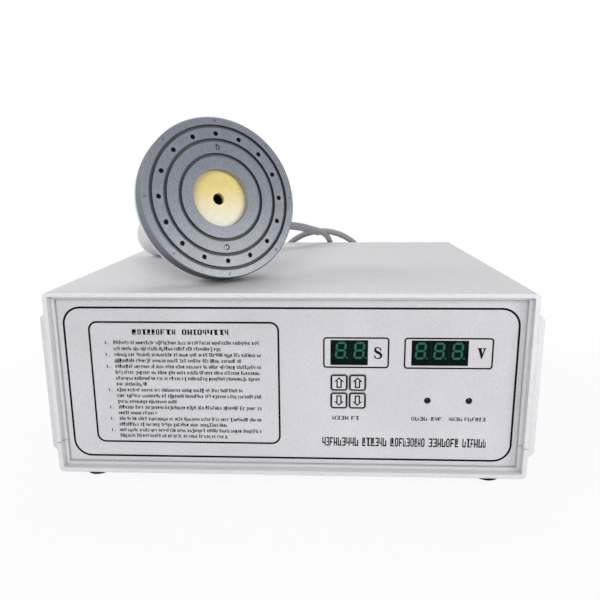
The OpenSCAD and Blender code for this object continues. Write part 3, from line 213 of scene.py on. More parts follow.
def surface(name, colour, rough=0.5, grain=1500.0, depth=0.12, blotch=0.04, edge=0.0, metallic=0.0,
            round_mm=0.25, specular=0.5, stretch=None, shade_reach_mm=0.0, dark=0.5, shade_fade=None, fleck=0.04):
    """A moulded, painted or metal surface: cloudy tone, grain in bump and roughness, soft and worn edges, and
    where asked painted shade towards one end and in narrow corners.
    """
    mat, tree, shader = new_material(name)
    cloud = noise(tree, CLOUD_SCALE, 5.0, 0.6)
    tone = ramp(tree, cloud, shade(colour, 1 - blotch), shade(colour, 1 + blotch))
    fine = noise(tree, grain, 3.0, 0.6, stretch)
    flecks = ramp(tree, fine, grey(1 - fleck), grey(1 + fleck / 2), 0.35, 0.6)
    tone = mix(tree, "MULTIPLY", 0.5, tone, flecks)
    if edge:
        geo = tree.nodes.new("ShaderNodeNewGeometry")
        worn = ramp(tree, geo.outputs["Pointiness"], BLACK, WHITE, 0.515, 0.6)
        patch = ramp(tree, noise(tree, WEAR_SCALE, 4.0), BLACK, WHITE, 0.42, 0.62)
        wear = mix(tree, "MULTIPLY", 1.0, worn, patch)
        tone = mix(tree, "MIX", mix(tree, "MULTIPLY", 1.0, wear, grey(edge)), tone, shade(colour, 1.25))
    # Painted shade: the tone changes along an axis of the part
    if shade_fade:
        axis, start, end, first, last = shade_fade
        change = ramp(tree, along(tree, axis, start, end), grey(first), grey(last), 0.0, 1.0)
        tone = mix(tree, "MULTIPLY", 1.0, tone, change)
    # Painted shade in narrow corners, where neighbouring faces come near
    if shade_reach_mm:
        tone = painted_corner_shade(tree, tone, shade_reach_mm, dark)
    tree.links.new(tone, shader.inputs["Base Color"])
    uneven = noise(tree, grain * 0.35, 4.0, 0.6, stretch)
    tree.links.new(span(tree, uneven, rough - ROUGH_VARIES, rough + ROUGH_VARIES), shader.inputs["Roughness"])
    shader.inputs["Metallic"].default_value = metallic
    shader.inputs["Specular IOR Level"].default_value = specular
    relief(tree, shader, fine, depth, round_mm)
    return mat


CASE = srgb(220, 219, 222)
FILM = srgb(206, 204, 210)
FILM_SHADE_FADE = ((0, 0, 1), 0.03, 0.11, 1.05, 0.94)     # painted shade: the film is a little darker towards its top
# Where a corner reach is given, shade is painted into narrow corners: on the case, the film, the screws and
# the lead
MATERIALS = {
    "case_plastic": surface("case_plastic", CASE, 0.5, 1500, 0.07, 0.012, edge=0.2, round_mm=0.5,
                            specular=0.32, shade_reach_mm=3.0, dark=0.74, fleck=0.1),
    "panel_plate": surface("panel_plate", srgb(196, 196, 200), 0.38, 900, 0.06, 0.03, metallic=0.75,
                           stretch=(1, 1, 12)),
    "silver_film": surface("silver_film", FILM, 0.4, 1400, 0.12, 0.06, round_mm=0.1, shade_reach_mm=2.0,
                           dark=0.68, shade_fade=FILM_SHADE_FADE, fleck=0.24),
    "foot_rubber": surface("foot_rubber", srgb(14, 14, 15), 0.72, 1400, 0.25, 0.12, round_mm=0.5,
                           specular=0.2),
    "screw_steel": surface("screw_steel", srgb(132, 134, 138), 0.34, 1300, 0.05, 0.05, metallic=1.0,
                           shade_reach_mm=1.5, dark=0.06),
    "circuit_board": surface("circuit_board", srgb(18, 92, 54), 0.35, 700, 0.06, 0.1),
    "display_black": surface("display_black", srgb(5, 15, 16), 0.22, 900, 0.02, 0.1, round_mm=0.1,
                             specular=0.05),
    "amber_lens": surface("amber_lens", srgb(30, 26, 18), 0.2, 500, 0.02, 0.1, specular=0.25),
    "red_lens": surface("red_lens", srgb(27, 15, 17), 0.2, 500, 0.02, 0.1, specular=0.25),
    "black_plastic": surface("black_plastic", srgb(34, 34, 36), 0.42, 1500, 0.16, 0.1, edge=0.15,
                             round_mm=0.35),
    "sink_aluminium": surface("sink_aluminium", srgb(196, 198, 202), 0.34, 1200, 0.1, 0.04, metallic=1.0,
                              stretch=(1, 0.05, 1)),
    "can_sleeve": surface("can_sleeve", srgb(30, 44, 84), 0.22, 600, 0.05, 0.08),
    "film_box": surface("film_box", srgb(196, 158, 60), 0.3, 900, 0.08, 0.06, round_mm=0.5),
    "copper_wire": surface("copper_wire", srgb(176, 108, 62), 0.28, 900, 0.2, 0.12, metallic=0.9,
                           stretch=(1, 1, 8)),
    "core_iron": surface("core_iron", srgb(84, 86, 90), 0.5, 1000, 0.2, 0.1, metallic=0.5),
    "fuse_glass": surface("fuse_glass", srgb(214, 220, 220), 0.1, 400, 0.02, 0.04),
    "gland_nylon": surface("gland_nylon", srgb(84, 84, 86), 0.45, 1400, 0.12, 0.08, round_mm=0.4),
    "trigger_red": surface("trigger_red", srgb(142, 34, 28), 0.34, 1400, 0.08, 0.06, round_mm=0.6),
    "lead_sheath": surface("lead_sheath", srgb(146, 147, 150), 0.44, 1100, 0.08, 0.05, round_mm=0.2,
                           shade_reach_mm=3.0, dark=0.35),
}
INK = surface("panel_ink", srgb(13, 12, 15), 0.6, 1800, 0.05, 0.1, round_mm=0, specular=0.08)
SEGMENT = surface("display_segment", srgb(30, 98, 82), 0.3, 1500, 0.02, 0.12, round_mm=0, specular=0.15)
JOINT = surface("display_joint", srgb(24, 38, 38), 0.4, 1500, 0.02, 0.1, round_mm=0, specular=0.1)

HEAD_GREY = srgb(102, 109, 121)
WALL_R, BORE_R = 0.0501, 0.01845          # metres from the head's axis to the outer wall and the bore
WALL_SHADE, BORE_LIT = 0.68, 1.7          # painted shade on the wall and painted light on the bore, as tones against the face
FACE_ROUGH, WALL_ROUGH = (0.16, 0.3), 0.62     # the grooves are as dull as the wall
FACE_REACH, FACE_DARK = 5.0, 0.16         # shade in the grooves and holes of the face
WALL_REACH, WALL_DARK = 26.0, 0.04        # shade where the wall comes near the case
GROOVES, GROOVE_HALF = (0.0266, 0.0357, 0.0444), 0.00105
GROOVE_SHADE = 0.5                         # painted shade in the grooves, as a tone against the face
STEP_WIDTH = 0.0001


def head_radius(tree):
    """Distance from the axis of the sealing head, in metres."""
    offset = vector_math(tree, "SUBTRACT", object_point(tree), HEAD_AT).outputs["Vector"]
    across = vector_math(tree, "CROSS_PRODUCT", offset, HEAD_AXIS).outputs["Vector"]
    return vector_math(tree, "LENGTH", across).outputs["Value"]


def past(tree, value, limit):
    """0 below the limit and 1 above it."""
    return span(tree, value, 0.0, 1.0, limit - STEP_WIDTH, limit + STEP_WIDTH)


def near(tree, value, middle, half):
    """1 where the value is within half of the middle, else 0."""
    node = tree.nodes.new("ShaderNodeMath")
    node.operation = "COMPARE"
    tree.links.new(value, node.inputs[0])
    node.inputs[1].default_value = middle
    node.inputs[2].default_value = half
    return node.outputs[0]


def head_material():
    """Dark grey moulded face: speckle, clouds, painted shade in the grooves, holes and on the wall, painted
    light in the bore, rubbed edges and a satin gloss.
    """
    mat, tree, shader = new_material("face_plastic")
    tone = ramp(tree, noise(tree, 30.0, 5.0), shade(HEAD_GREY, 0.94), shade(HEAD_GREY, 1.06))
    speck = noise(tree, 1500.0, 2.0, 0.75)
    speckle = ramp(tree, speck, (0.58, 0.59, 0.61), grey(1.28), 0.36, 0.64)
    tone = mix(tree, "MULTIPLY", 0.85, tone, speckle)
    geo = tree.nodes.new("ShaderNodeNewGeometry")
    worn = ramp(tree, geo.outputs["Pointiness"], BLACK, grey(0.4), 0.52, 0.62)
    tone = mix(tree, "MIX", worn, tone, shade(HEAD_GREY, 1.35))
    radius = head_radius(tree)
    on_wall = past(tree, radius, WALL_R)
    inner, middle, outer = (near(tree, radius, r, GROOVE_HALF) for r in GROOVES)
    groove = math_node(tree, "ADD", math_node(tree, "ADD", inner, middle), outer)
    # Painted shade: darker in the grooves and holes of the face
    face = painted_corner_shade(tree, tone, FACE_REACH, FACE_DARK)
    face = mix(tree, "MIX", groove, face, mix(tree, "MULTIPLY", 1.0, face, grey(GROOVE_SHADE)))
    # Painted shade: the wall is the face's plastic made darker, with more painted shade near the case
    wall = painted_corner_shade(tree, mix(tree, "MULTIPLY", 1.0, tone, grey(WALL_SHADE)), WALL_REACH, WALL_DARK)
    tone = mix(tree, "MIX", on_wall, face, wall)
    # Painted light: the bore's wall is made paler than the face
    tone = mix(tree, "MIX", past(tree, radius, BORE_R), shade(HEAD_GREY, BORE_LIT), tone)
    tree.links.new(tone, shader.inputs["Base Color"])
    satin = span(tree, noise(tree, 700.0), *FACE_ROUGH)
    rough = mix(tree, "MIX", math_node(tree, "ADD", on_wall, groove), satin, grey(WALL_ROUGH))
    tree.links.new(rough, shader.inputs["Roughness"])
    shader.inputs["Specular IOR Level"].default_value = 1.0
    relief(tree, shader, speck, 0.42, 0.35)
    return mat


DISC_SHEEN, DISC_DEEP = srgb(246, 242, 228), srgb(227, 206, 128)
DISC_SHEEN_SPAN = (0.1342, 0.1690)              # metres up the face over which the disc turns from its painted sheen to its own deep yellow


def disc_material():
    """Resin laminate: yellow, with a painted sheen that makes it paler towards its lower side, flecks, painted
    shade at its rim and a soft gloss.
    """
    mat, tree, shader = new_material("laminate")
    # Painted sheen: paler towards the lower side of the disc
    tone = ramp(tree, along(tree, HEAD_UP, *DISC_SHEEN_SPAN), DISC_SHEEN, DISC_DEEP, 0.1, 0.75)
    stains = ramp(tree, noise(tree, 260.0, 5.0, 0.65), (0.9, 0.88, 0.8), (1.04, 1.04, 1.05), 0.36, 0.62)
    tone = mix(tree, "MULTIPLY", 0.5, tone, stains)
    flecks = ramp(tree, noise(tree, 1500.0, 2.0, 0.7), (0.84, 0.82, 0.74), grey(1.05), 0.36, 0.62)
    tone = mix(tree, "MULTIPLY", 0.35, tone, flecks)
    # Painted shade at the rim of the disc
    tree.links.new(painted_corner_shade(tree, tone, 1.6, 0.45), shader.inputs["Base Color"])
    tree.links.new(span(tree, noise(tree, 240.0), 0.26, 0.42), shader.inputs["Roughness"])
    shader.inputs["Specular IOR Level"].default_value = 0.6
    relief(tree, shader, noise(tree, 420.0, 4.0), 0.1, 0.2)
    return mat


MATERIALS["face_plastic"] = head_material()
MATERIALS["laminate"] = disc_material()
slot_of = {s["node"]: s["material_slot"] for s in frame["record"]["subparts"]}
for name, obj in nodes.items():
    obj.data.materials.clear()
    obj.data.materials.append(MATERIALS[slot_of[name]])


# Print: flat faces just in front of the film, the display windows and the keys
class Flat:
    """Faces of print on a plane in front of the panel, in millimetres, with z from the case's underside."""

    def __init__(self, y):
        self.y = y
        self.verts = []
        self.faces = []

    def add(self, points):
        base = len(self.verts)
        self.verts += [(x * MM, self.y * MM, (z + UNDERSIDE) * MM) for x, z in points]
        return base

    def polygon(self, points):
        base = self.add(points)
        self.faces.append(tuple(range(base, base + len(points))))

    def band(self, outer, inner):
        base = self.add(outer + inner)
        n = len(outer)
        for i in range(n):
            j = (i + 1) % n
            self.faces.append((base + i, base + j, base + n + j, base + n + i))

    def rect(self, x0, x1, z0, z1):
        self.polygon([(x0, z0), (x1, z0), (x1, z1), (x0, z1)])

    def frame(self, x0, x1, z0, z1, r, w):
        inner_r = max(r - w, 0.05)
        self.band(rounded(x0, x1, z0, z1, r), rounded(x0 + w, x1 - w, z0 + w, z1 - w, inner_r))

    def stroke(self, points, widths):
        left, right = [], []
        for i, (x, z) in enumerate(points):
            a = points[max(i - 1, 0)]
            b = points[min(i + 1, len(points) - 1)]
            dx, dz = b[0] - a[0], b[1] - a[1]
            k = widths[i] / 2 / math.hypot(dx, dz)
            left.append((x - dz * k, z + dx * k))
            right.append((x + dz * k, z - dx * k))
        for i in range(len(points) - 1):
            self.polygon([right[i], right[i + 1], left[i + 1], left[i]])

    def build(self, name, material, body):
        mesh = bpy.data.meshes.new(name)
        mesh.from_pydata(self.verts, [], self.faces)
        mesh.materials.append(material)
        mesh.update()
        obj = bpy.data.objects.new(name, mesh)
        bpy.context.collection.objects.link(obj)
        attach(obj, body)


def rounded(x0, x1, z0, z1, r, steps=8):
    """Corner points of a rectangle with rounded corners."""
    points = []
    corners = ((x1 - r, z0 + r, -90), (x1 - r, z1 - r, 0), (x0 + r, z1 - r, 90), (x0 + r, z0 + r, 180))
    for cx, cz, start in corners:
        for i in range(steps + 1):
            a = math.radians(start + 90 * i / steps)
            points.append((cx + r * math.cos(a), cz + r * math.sin(a)))
    return points


# Strokes of made-up letters, as shares of a letter's box: left, right, low, high
MARKS = (
    ((0, 0.2, 0, 1), (0.2, 1, 0.82, 1), (0.2, 0.8, 0.36, 0.54)),
    ((0, 0.2, 0.12, 0.88), (0.8, 1, 0.12, 0.88), (0.15, 0.85, 0.84, 1), (0.15, 0.85, 0, 0.16)),
    ((0, 0.2, 0, 1), (0.8, 1, 0, 1), (0.2, 0.8, 0.3, 0.46)),
    ((0.4, 0.6, 0, 0.84), (0, 1, 0.84, 1), (0.6, 1, 0, 0.14)),
    ((0, 0.2, 0, 1), (0.8, 1, 0, 0.7), (0.2, 0.8, 0, 0.16)),
    ((0.8, 1, 0, 1), (0, 0.8, 0.84, 1), (0.25, 0.8, 0.4, 0.56), (0, 0.8, 0, 0.16)),
    ((0, 0.2, 0, 1), (0.2, 1, 0, 0.16), (0.5, 0.7, 0.3, 1)),
    ((0, 0.2, 0.3, 1), (0.2, 0.8, 0.3, 0.45), (0.8, 1, 0, 1)),
)
UPRIGHT_SHARE = 0.3                       # a stroke narrower than this is an upright, and bold widens it
BOLD_STEP = 0.1
TALL_SHARE, LOW_SHARE, LOW_DROP = 0.3, 0.08, 0.28


def words(flat, rng, x0, x1, z, height, letter, gap, space, groups, bold, rise=1.0):
    """A line of print that spells nothing: strokes in letter-sized boxes, in groups, some of them tall."""
    x = x0
    group = 0
    while x < x1 - letter * 0.6:
        for _ in range(groups[group % len(groups)] if groups else rng.randint(2, 9)):
            w = letter * rng.choice((0.75, 1.0, 1.0, 1.1))
            if x + w > x1 + 0.01:
                break
            h = height * (rise if rng.random() < TALL_SHARE else 1.0)
            low = -height * LOW_DROP if rise > 1 and rng.random() < LOW_SHARE else 0.0
            for a, b, c, d in rng.choice(MARKS):
                if b - a < UPRIGHT_SHARE:
                    grow = (bold - 1) * BOLD_STEP
                    a, b = max(0.0, a - grow), min(1.0, b + grow)
                flat.rect(x + a * w, x + b * w, z + low + c * (h - low), z + low + d * (h - low))
            x += w + gap
        x += space
        group += 1


# Frames on the film: left, right, low, high, corner radius, line width
BORDERS = ((-134.0, 134.0, 7.75, 103.55, 11.0, 1.25), (-119.0, -5.0, 17.3, 94.7, 5.5, 1.15),
           (20.7, 59.4, 66.7, 85.65, 2.0, 0.95), (68.0, 119.6, 66.5, 85.6, 2.0, 0.95))
# Lines of print: left, right, low, height, letter width, gap, space, letters in each group, boldness
HEADING = (-92.6, -32.5, 86.5, 3.3, 2.75, 0.55, 3.4, (9, 9), 2.6)
CAPTIONS = ((26.4, 44.5, 33.9, 2.5, 2.0, 0.45, 1.3, (4, 3), 2.0),
            (73.6, 92.6, 33.9, 2.4, 1.9, 0.4, 1.9, (4, 4), 2.0),
            (95.8, 118.8, 33.9, 2.4, 1.75, 0.36, 0.9, (4, 7), 2.0),
            (20.3, 119.7, 16.9, 5.6, 2.1, 0.38, 2.0, (9, 6, 9, 7, 7), 2.2))
TEXT_LEFT, TEXT_TOP, TEXT_PITCH = -104.4, 80.5, 3.73
TEXT_FORM = (1.75, 1.15, 0.24, 0.75, None, 2.8, 1.3)
TEXT_ENDS = (-16, -40, -15.7, -28, -16, -15.5, -16, -84, -27, -15.8, -67, -15.6, -80, -16.6, -37, -15.7, -37)
NUMBERED = (0, 2, 4, 8, 11, 13, 15)
# Unit letters of the two displays, for seconds and volts
S_PATH = ((54.4, 78.0), (53.9, 79.0), (52.9, 79.5), (51.8, 79.3), (51.1, 78.5), (51.2, 77.5), (52.0, 76.8),
          (53.2, 76.2), (54.3, 75.5), (54.8, 74.6), (54.6, 73.6), (53.7, 72.9), (52.5, 72.8), (51.5, 73.3),
          (51.0, 74.3))
S_WIDTH = (0.8, 0.6, 0.7, 0.9, 1.2, 1.45, 1.6, 1.7, 1.6, 1.45, 1.15, 0.9, 0.7, 0.6, 0.8)
S_SERIFS = ((54.2, 54.6, 77.2, 79.5), (50.8, 51.2, 72.9, 75.0))
V_LEGS = (((110.7, 79.2), (112.5, 79.2), (113.6, 74.8), (112.7, 72.6)),
          ((112.7, 72.6), (113.3, 73.6), (114.95, 79.2), (114.0, 79.2)))
V_SERIFS = ((110.2, 112.9, 78.95, 79.5), (113.3, 115.4, 78.95, 79.5))

ink = Flat(FILM_Y - INK_PROUD)
for border in BORDERS:
    ink.frame(*border)
rng = random.Random(7)
words(ink, rng, *HEADING)
for i, end in enumerate(TEXT_ENDS):
    z = TEXT_TOP - TEXT_PITCH * i
    words(ink, rng, TEXT_LEFT, end, z, *TEXT_FORM)
    if i in NUMBERED:
        ink.rect(TEXT_LEFT - 5.0, TEXT_LEFT - 4.4, z, z + 1.9)
        ink.rect(TEXT_LEFT - 3.3, TEXT_LEFT - 2.8, z - 0.1, z + 0.4)
for caption in CAPTIONS:
    words(ink, rng, *caption)
ink.stroke(S_PATH, S_WIDTH)
for leg in V_LEGS:
    ink.polygon(leg)
for serif in S_SERIFS + V_SERIFS:
    ink.rect(*serif)
ink.build("panel_print", INK, "case")


# Seven-segment digits in the display windows
SEGMENT_Y, JOINT_Y = -115.58, -115.575
DIGIT_W, DIGIT_H, BAR, BAR_GAP = 6.4, 10.4, 1.35, 0.22
DIGIT_LEAN = math.tan(math.radians(5))
DOT_AT, DOT_R, DOT_SIDES = (DIGIT_W + 0.9, 0.65), 0.55, 10
DIGITS = ((27.9, 72.4), (38.75, 72.4), (74.5, 72.3), (85.2, 72.3), (95.9, 72.3))
JOINTS, JOINT_HALF, JOINT_Z = (36.6, 83.5, 94.2), 0.12, (68.9, 83.6)


def digit(flat, x, z):
    """Seven bars with pointed ends and a dot, leaning to the right."""
    t = BAR / 2

    def lean(points):
        flat.polygon([(x + px + (pz - DIGIT_H / 2) * DIGIT_LEAN, z + pz) for px, pz in points])

    a, b = t + BAR_GAP, DIGIT_W - t - BAR_GAP
    for cz in (t, DIGIT_H / 2, DIGIT_H - t):
        lean([(a, cz), (a + t, cz - t), (b - t, cz - t), (b, cz), (b - t, cz + t), (a + t, cz + t)])
    for cx in (t, DIGIT_W - t):
        for z0, z1 in ((t, DIGIT_H / 2), (DIGIT_H / 2, DIGIT_H - t)):
            a, b = z0 + BAR_GAP, z1 - BAR_GAP
            lean([(cx, a), (cx + t, a + t), (cx + t, b - t), (cx, b), (cx - t, b - t), (cx - t, a + t)])
    turns = [2 * math.pi * i / DOT_SIDES for i in range(DOT_SIDES)]
    lean([(DOT_AT[0] + DOT_R * math.cos(u), DOT_AT[1] + DOT_R * math.sin(u)) for u in turns])


segments = Flat(SEGMENT_Y)
for x, z in DIGITS:
    digit(segments, x, z)
segments.build("display_segments", SEGMENT, "case")
joints = Flat(JOINT_Y)
for x in JOINTS:
    joints.rect(x - JOINT_HALF, x + JOINT_HALF, *JOINT_Z)
joints.build("display_joints", JOINT, "case")


# Frames and arrows on the keys
KEYS = {"tens_up_key": (-1, 1), "units_up_key": (1, 1), "tens_down_key": (-1, -1), "units_down_key": (1, -1)}
KEY_MID, KEY_PITCH, KEY_HALF = (35.7, 52.0), (10.95, 11.3), (4.85, 4.95)
KEY_CORNER, KEY_LINE = 1.6, 0.86
ARROW_OUTER = ((0, 3.4), (2.95, 0.6), (1.6, 0.6), (1.6, -3.3), (-1.6, -3.3), (-1.6, 0.6), (-2.95, 0.6))
ARROW_INNER = ((0, 2.35), (1.2, 1.2), (0.8, 1.2), (0.8, -2.5), (-0.8, -2.5), (-0.8, 1.2), (-1.2, 1.2))

for body, (column, row) in KEYS.items():
    x = KEY_MID[0] + column * KEY_PITCH[0] / 2
    z = KEY_MID[1] + row * KEY_PITCH[1] / 2
    key_print = Flat(KEY_Y - INK_PROUD)
    key_print.frame(x - KEY_HALF[0], x + KEY_HALF[0], z - KEY_HALF[1], z + KEY_HALF[1], KEY_CORNER, KEY_LINE)
    key_print.band(*([(x + px, z + row * pz) for px, pz in line] for line in (ARROW_OUTER, ARROW_INNER)))
    key_print.build(body + "_print", INK, body)


# The lead: one curve from the handle through the hank to the gland, in millimetres, as in part.scad
LEAD_D, SLEEVE_D = 5.2, 7.4
ROUTE_STEP, CURVE_PARTS = 3.0, 24
LEAD_START, LEAD_AIM = Vector((-67.581, 46.578, 138.716)), Vector((0.83676, 0.54756, 0))
LEAD_STRAIGHT = 14
REAR_Y, TOP_Z, FOOT_Z = 121.5, 118.0, 2.85
GLAND = Vector((-45.94, 133.3, 30.0))
GLAND_STRAIGHT = Vector((0, 4, 0))
# Offsets from the rear edge of the case's top, above the middle of the hank
SLEEVE_WAY = ((-59.5, -57.3, 21.6), (-46, -47.5, 21.6), (-33, -37.7, 20.2), (-20, -28.5, 17.8),
              (-10.4, -17.5, 14.2), (-3.1, -9.1, 11.4))
UPPER_WAY = ((-0.8, -6.5, 10.5), (1.8, -3.4, 9.1), (4.2, -0.5, 6.8), (6.3, 2, 3.9), (7.8, 4, 0.3),
             (8.7, 5.4, -3.7), (9.2, 6.3, -7.9), (9.7, 7.2, -13.8), (10.7, 7.7, -19.8), (12.7, 7.9, -25.7),
             (16, 8, -31.5), (20.6, 8, -37.1), (26.2, 8, -42.6), (32.2, 8, -48.2), (37.8, 8, -54.4),
             (42.5, 8, -61.2), (45.8, 8, -68.2))
# From the hank to the gland: share of the way in x, distance behind the case, share of the way in z
LOWER_WAY = ((-0.033, 21.1, 0.039), (0.081, 24.5, 0.088), (0.177, 29.6, 0.166), (0.271, 35, 0.267),
             (0.372, 39.7, 0.385), (0.49, 42.5, 0.511), (0.615, 42.9, 0.638), (0.736, 41, 0.756),
             (0.844, 36.9, 0.857), (0.928, 30.9, 0.935), (0.982, 23.7, 0.983))
# The hank: a long ring of two turns, each a step further back than the one before
HANK_X, HANK_Y, HANK_R, HANK_TOP, HANK_LOW = 18.0, 129.5, 48.2, 79.5, 51.0
HANK_SIDE = HANK_TOP - HANK_LOW
HANK_TURN = 2 * math.pi * HANK_R + 2 * HANK_SIDE
HANK_STEP, HANK_FLOOR, HANK_PARTS = 5.35, 2.8, 130
HANK_FIRST = HANK_SIDE + math.radians(10) * HANK_R
HANK_LAST = 2 * HANK_TURN + HANK_SIDE + math.radians(78) * HANK_R


def smooth(points, step):
    """Points every step along a Catmull-Rom curve through the given points."""
    pts = [Vector(p) for p in points]
    pts = [pts[0] * 2 - pts[1]] + pts + [pts[-1] * 2 - pts[-2]]
    dense = []
    for i in range(1, len(pts) - 2):
        a, b, c, d = pts[i - 1:i + 3]
        for k in range(CURVE_PARTS):
            t = k / CURVE_PARTS
            second = 2 * a - 5 * b + 4 * c - d
            third = 3 * b - a - 3 * c + d
            dense.append(0.5 * (2 * b + (c - a) * t + second * t * t + third * t ** 3))
    dense.append(pts[-2])
    out, left = [dense[0]], step
    for p, q in zip(dense, dense[1:]):
        length = (q - p).length
        while left <= length:
            p = p.lerp(q, left / length)
            length = (q - p).length
            out.append(p)
            left = step
        left -= length
    if (out[-1] - dense[-1]).length > step * 0.4:
        out.append(dense[-1])
    else:
        out[-1] = dense[-1]
    return out


def hank_point(s):
    """The place after the length s of the hank, counted from the right end of its upper arc."""
    half = math.pi * HANK_R
    s %= HANK_TURN
    if s < HANK_SIDE:
        return HANK_X + HANK_R, HANK_TOP - s
    s -= HANK_SIDE
    if s < half:
        a = -s / HANK_R
        return HANK_X + HANK_R * math.cos(a), HANK_LOW + HANK_R * math.sin(a)
    s -= half
    if s < HANK_SIDE:
        return HANK_X - HANK_R, HANK_LOW + s
    a = math.pi - (s - HANK_SIDE) / HANK_R
    return HANK_X + HANK_R * math.cos(a), HANK_TOP + HANK_R * math.sin(a)


def tube(name, points, diameter):
    """A round cord along the points, as one open spline."""
    curve = bpy.data.curves.new(name, "CURVE")
    curve.dimensions = "3D"
    curve.bevel_depth = diameter / 2 * MM
    curve.bevel_resolution = 5
    curve.use_fill_caps = True
    spline = curve.splines.new("POLY")
    spline.points.add(len(points) - 1)
    for point, p in zip(spline.points, points):
        point.co = (*(p * MM), 1)
    spline.use_smooth = True
    curve.materials.append(MATERIALS["lead_sheath"])
    obj = bpy.data.objects.new(name, curve)
    bpy.context.collection.objects.link(obj)
    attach(obj, "case")
    return obj


hank = []
for i in range(HANK_PARTS + 1):
    done = (HANK_LAST - HANK_FIRST) * i / HANK_PARTS
    x, z = hank_point(HANK_FIRST + done)
    hank.append((x, HANK_Y + HANK_STEP * done / HANK_TURN, max(z, HANK_FLOOR)))
top_edge = Vector((HANK_X, REAR_Y, TOP_Z))
sleeve_route = [LEAD_START, LEAD_START + LEAD_STRAIGHT * LEAD_AIM] + [top_edge + Vector(p) for p in SLEEVE_WAY]
upper = [top_edge + Vector(p) for p in UPPER_WAY]
lower = [Vector((HANK_X + a * (GLAND.x - HANK_X), REAR_Y + d, FOOT_Z + b * (GLAND.z - FOOT_Z)))
         for a, d, b in LOWER_WAY]
route = smooth(sleeve_route + upper + hank + lower + [GLAND + GLAND_STRAIGHT, GLAND], ROUTE_STEP)

sleeve = tube("sleeve", smooth(sleeve_route, ROUTE_STEP), SLEEVE_D)
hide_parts("lead_sleeve")
lead = tube("lead", route, LEAD_D)
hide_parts("lead_upper", "lead_hank", "lead_lower")


# The trigger's spring, copied into a mesh of its own and attached to the case; the real spring shortens as the
# button goes in
spring = bpy.data.objects.new("spring", nodes["trigger_spring"].data.copy())
bpy.context.collection.objects.link(spring)
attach(spring, "case")
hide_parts("trigger_spring")
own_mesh(spring)


# Floor, light and camera
FLOOR_HALF, FLOOR_Z = 6.0, -0.0002
FLOOR_PALE = (0.9, 0.9, 0.9, 1)
GLOW_NEAR, GLOW_FAR, GLOW_LEAST = 0.18, 0.42, 0.9     # the floor's own white, from the part outwards
AMBIENT, AMBIENT_STRENGTH = (0.98, 0.99, 1.0, 1), 0.15
# Name, place, aim, width in metres, power in watts
LIGHTS = (("top_light", (0.1, 0.65, 1.25), (0, 0, 0.1), 1.2, 6.3),
          ("high_light", (-0.12, -1.25, 0.78), (0, 0, 0.06), 0.6, 6.0),
          ("front_light", (-0.35, -1.35, 0.3), (0, 0, 0.08), 0.9, 3.3),
          ("side_light", (0.772, -0.635, 0.3), (-0.04, -0.08, 0.15), 0.4, 3.1),
          ("rim_light", (-0.9, -0.1, 0.75), (-0.04, -0.05, 0.14), 0.5, 3.2))


def any_ray(tree):
    """1 on a camera, glossy or transmission ray, else 0."""
    path = tree.nodes.new("ShaderNodeLightPath")
    value = path.outputs["Is Camera Ray"]
    for name in ("Is Glossy Ray", "Is Transmission Ray"):
        value = math_node(tree, "MAXIMUM", value, path.outputs[name])
    return value


def blend_shaders(tree, fac, a, b, out):
    blend = tree.nodes.new("ShaderNodeMixShader")
    tree.links.new(fac, blend.inputs["Fac"])
    tree.links.new(a.outputs[0], blend.inputs[1])
    tree.links.new(b.outputs[0], blend.inputs[2])
    tree.links.new(blend.outputs[0], out.inputs["Surface"])


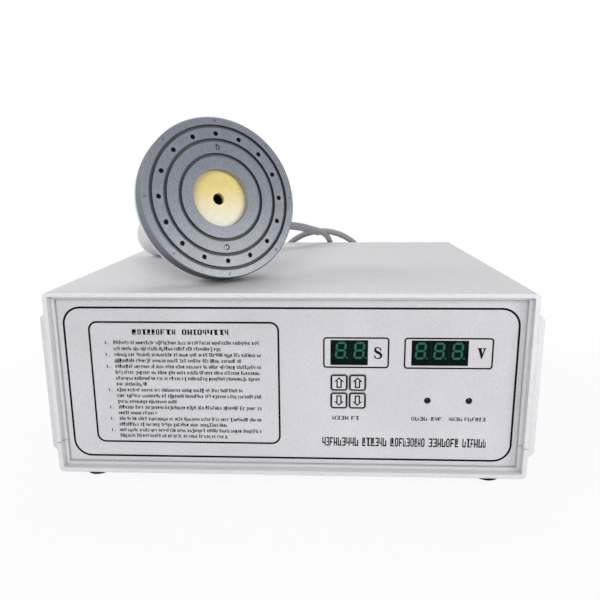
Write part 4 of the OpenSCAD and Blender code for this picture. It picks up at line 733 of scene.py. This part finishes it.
def floor_material():
    """Pale floor that the camera sees as white, with the object's soft shadow kept on it."""
    mat = bpy.data.materials.new("pale_floor")
    mat.use_nodes = True
    tree = mat.node_tree
    tree.nodes.clear()
    diffuse = tree.nodes.new("ShaderNodeBsdfDiffuse")
    diffuse.inputs["Color"].default_value = FLOOR_PALE
    glow = tree.nodes.new("ShaderNodeEmission")
    glow.inputs["Color"].default_value = (*WHITE, 1)
    away = vector_math(tree, "LENGTH", object_point(tree))
    white = tree.nodes.new("ShaderNodeMapRange")
    white.interpolation_type = "SMOOTHSTEP"
    white.inputs["From Min"].default_value = GLOW_NEAR
    white.inputs["From Max"].default_value = GLOW_FAR
    white.inputs["To Min"].default_value = GLOW_LEAST
    tree.links.new(away.outputs["Value"], white.inputs["Value"])
    part = math_node(tree, "MULTIPLY", any_ray(tree), white.outputs["Result"])
    blend_shaders(tree, part, diffuse, glow, tree.nodes.new("ShaderNodeOutputMaterial"))
    return mat


def area(name, at, to, size, power):
    data = bpy.data.lights.new(name, "AREA")
    data.shape = "DISK"
    data.size = size
    data.energy = power
    obj = bpy.data.objects.new(name, data)
    obj.location = at
    obj.rotation_euler = (Vector(to) - Vector(at)).to_track_quat("-Z", "Y").to_euler()
    bpy.context.collection.objects.link(obj)


mesh = bpy.data.meshes.new("floor")
corners = [(x * FLOOR_HALF, y * FLOOR_HALF, FLOOR_Z) for x, y in ((-1, -1), (1, -1), (1, 1), (-1, 1))]
mesh.from_pydata(corners, [], [(0, 1, 2, 3)])
mesh.materials.append(floor_material())
floor = bpy.data.objects.new("floor", mesh)
bpy.context.collection.objects.link(floor)

world = bpy.data.worlds.new("studio")
bpy.context.scene.world = world
world.use_nodes = True
tree = world.node_tree
tree.nodes.clear()
ambient = tree.nodes.new("ShaderNodeBackground")
ambient.inputs["Color"].default_value = AMBIENT
ambient.inputs["Strength"].default_value = AMBIENT_STRENGTH
seen = tree.nodes.new("ShaderNodeBackground")
seen.inputs["Color"].default_value = (*WHITE, 1)
blend_shaders(tree, any_ray(tree), ambient, seen, tree.nodes.new("ShaderNodeOutputWorld"))

for light in LIGHTS:
    area(*light)

forward = Vector((math.sin(YAW) * math.cos(PITCH), math.cos(YAW) * math.cos(PITCH), -math.sin(PITCH)))
level = Vector((math.cos(YAW), -math.sin(YAW), 0))
upright = level.cross(forward)
right = level * math.cos(ROLL) + upright * math.sin(ROLL)
up = upright * math.cos(ROLL) - level * math.sin(ROLL)
data = bpy.data.cameras.new("camera")
data.sensor_width = SENSOR_MM
data.lens = FOCAL_PX * SENSOR_MM / PAGE_PX
data.clip_start = 0.01
camera = bpy.data.objects.new("camera", data)
turn = Matrix((right, up, -forward)).transposed()
camera.matrix_world = Matrix.Translation(CAMERA_AT * MM) @ turn.to_4x4()
bpy.context.collection.objects.link(camera)
bpy.context.scene.camera = camera
bpy.context.scene.view_settings.view_transform = "Standard"
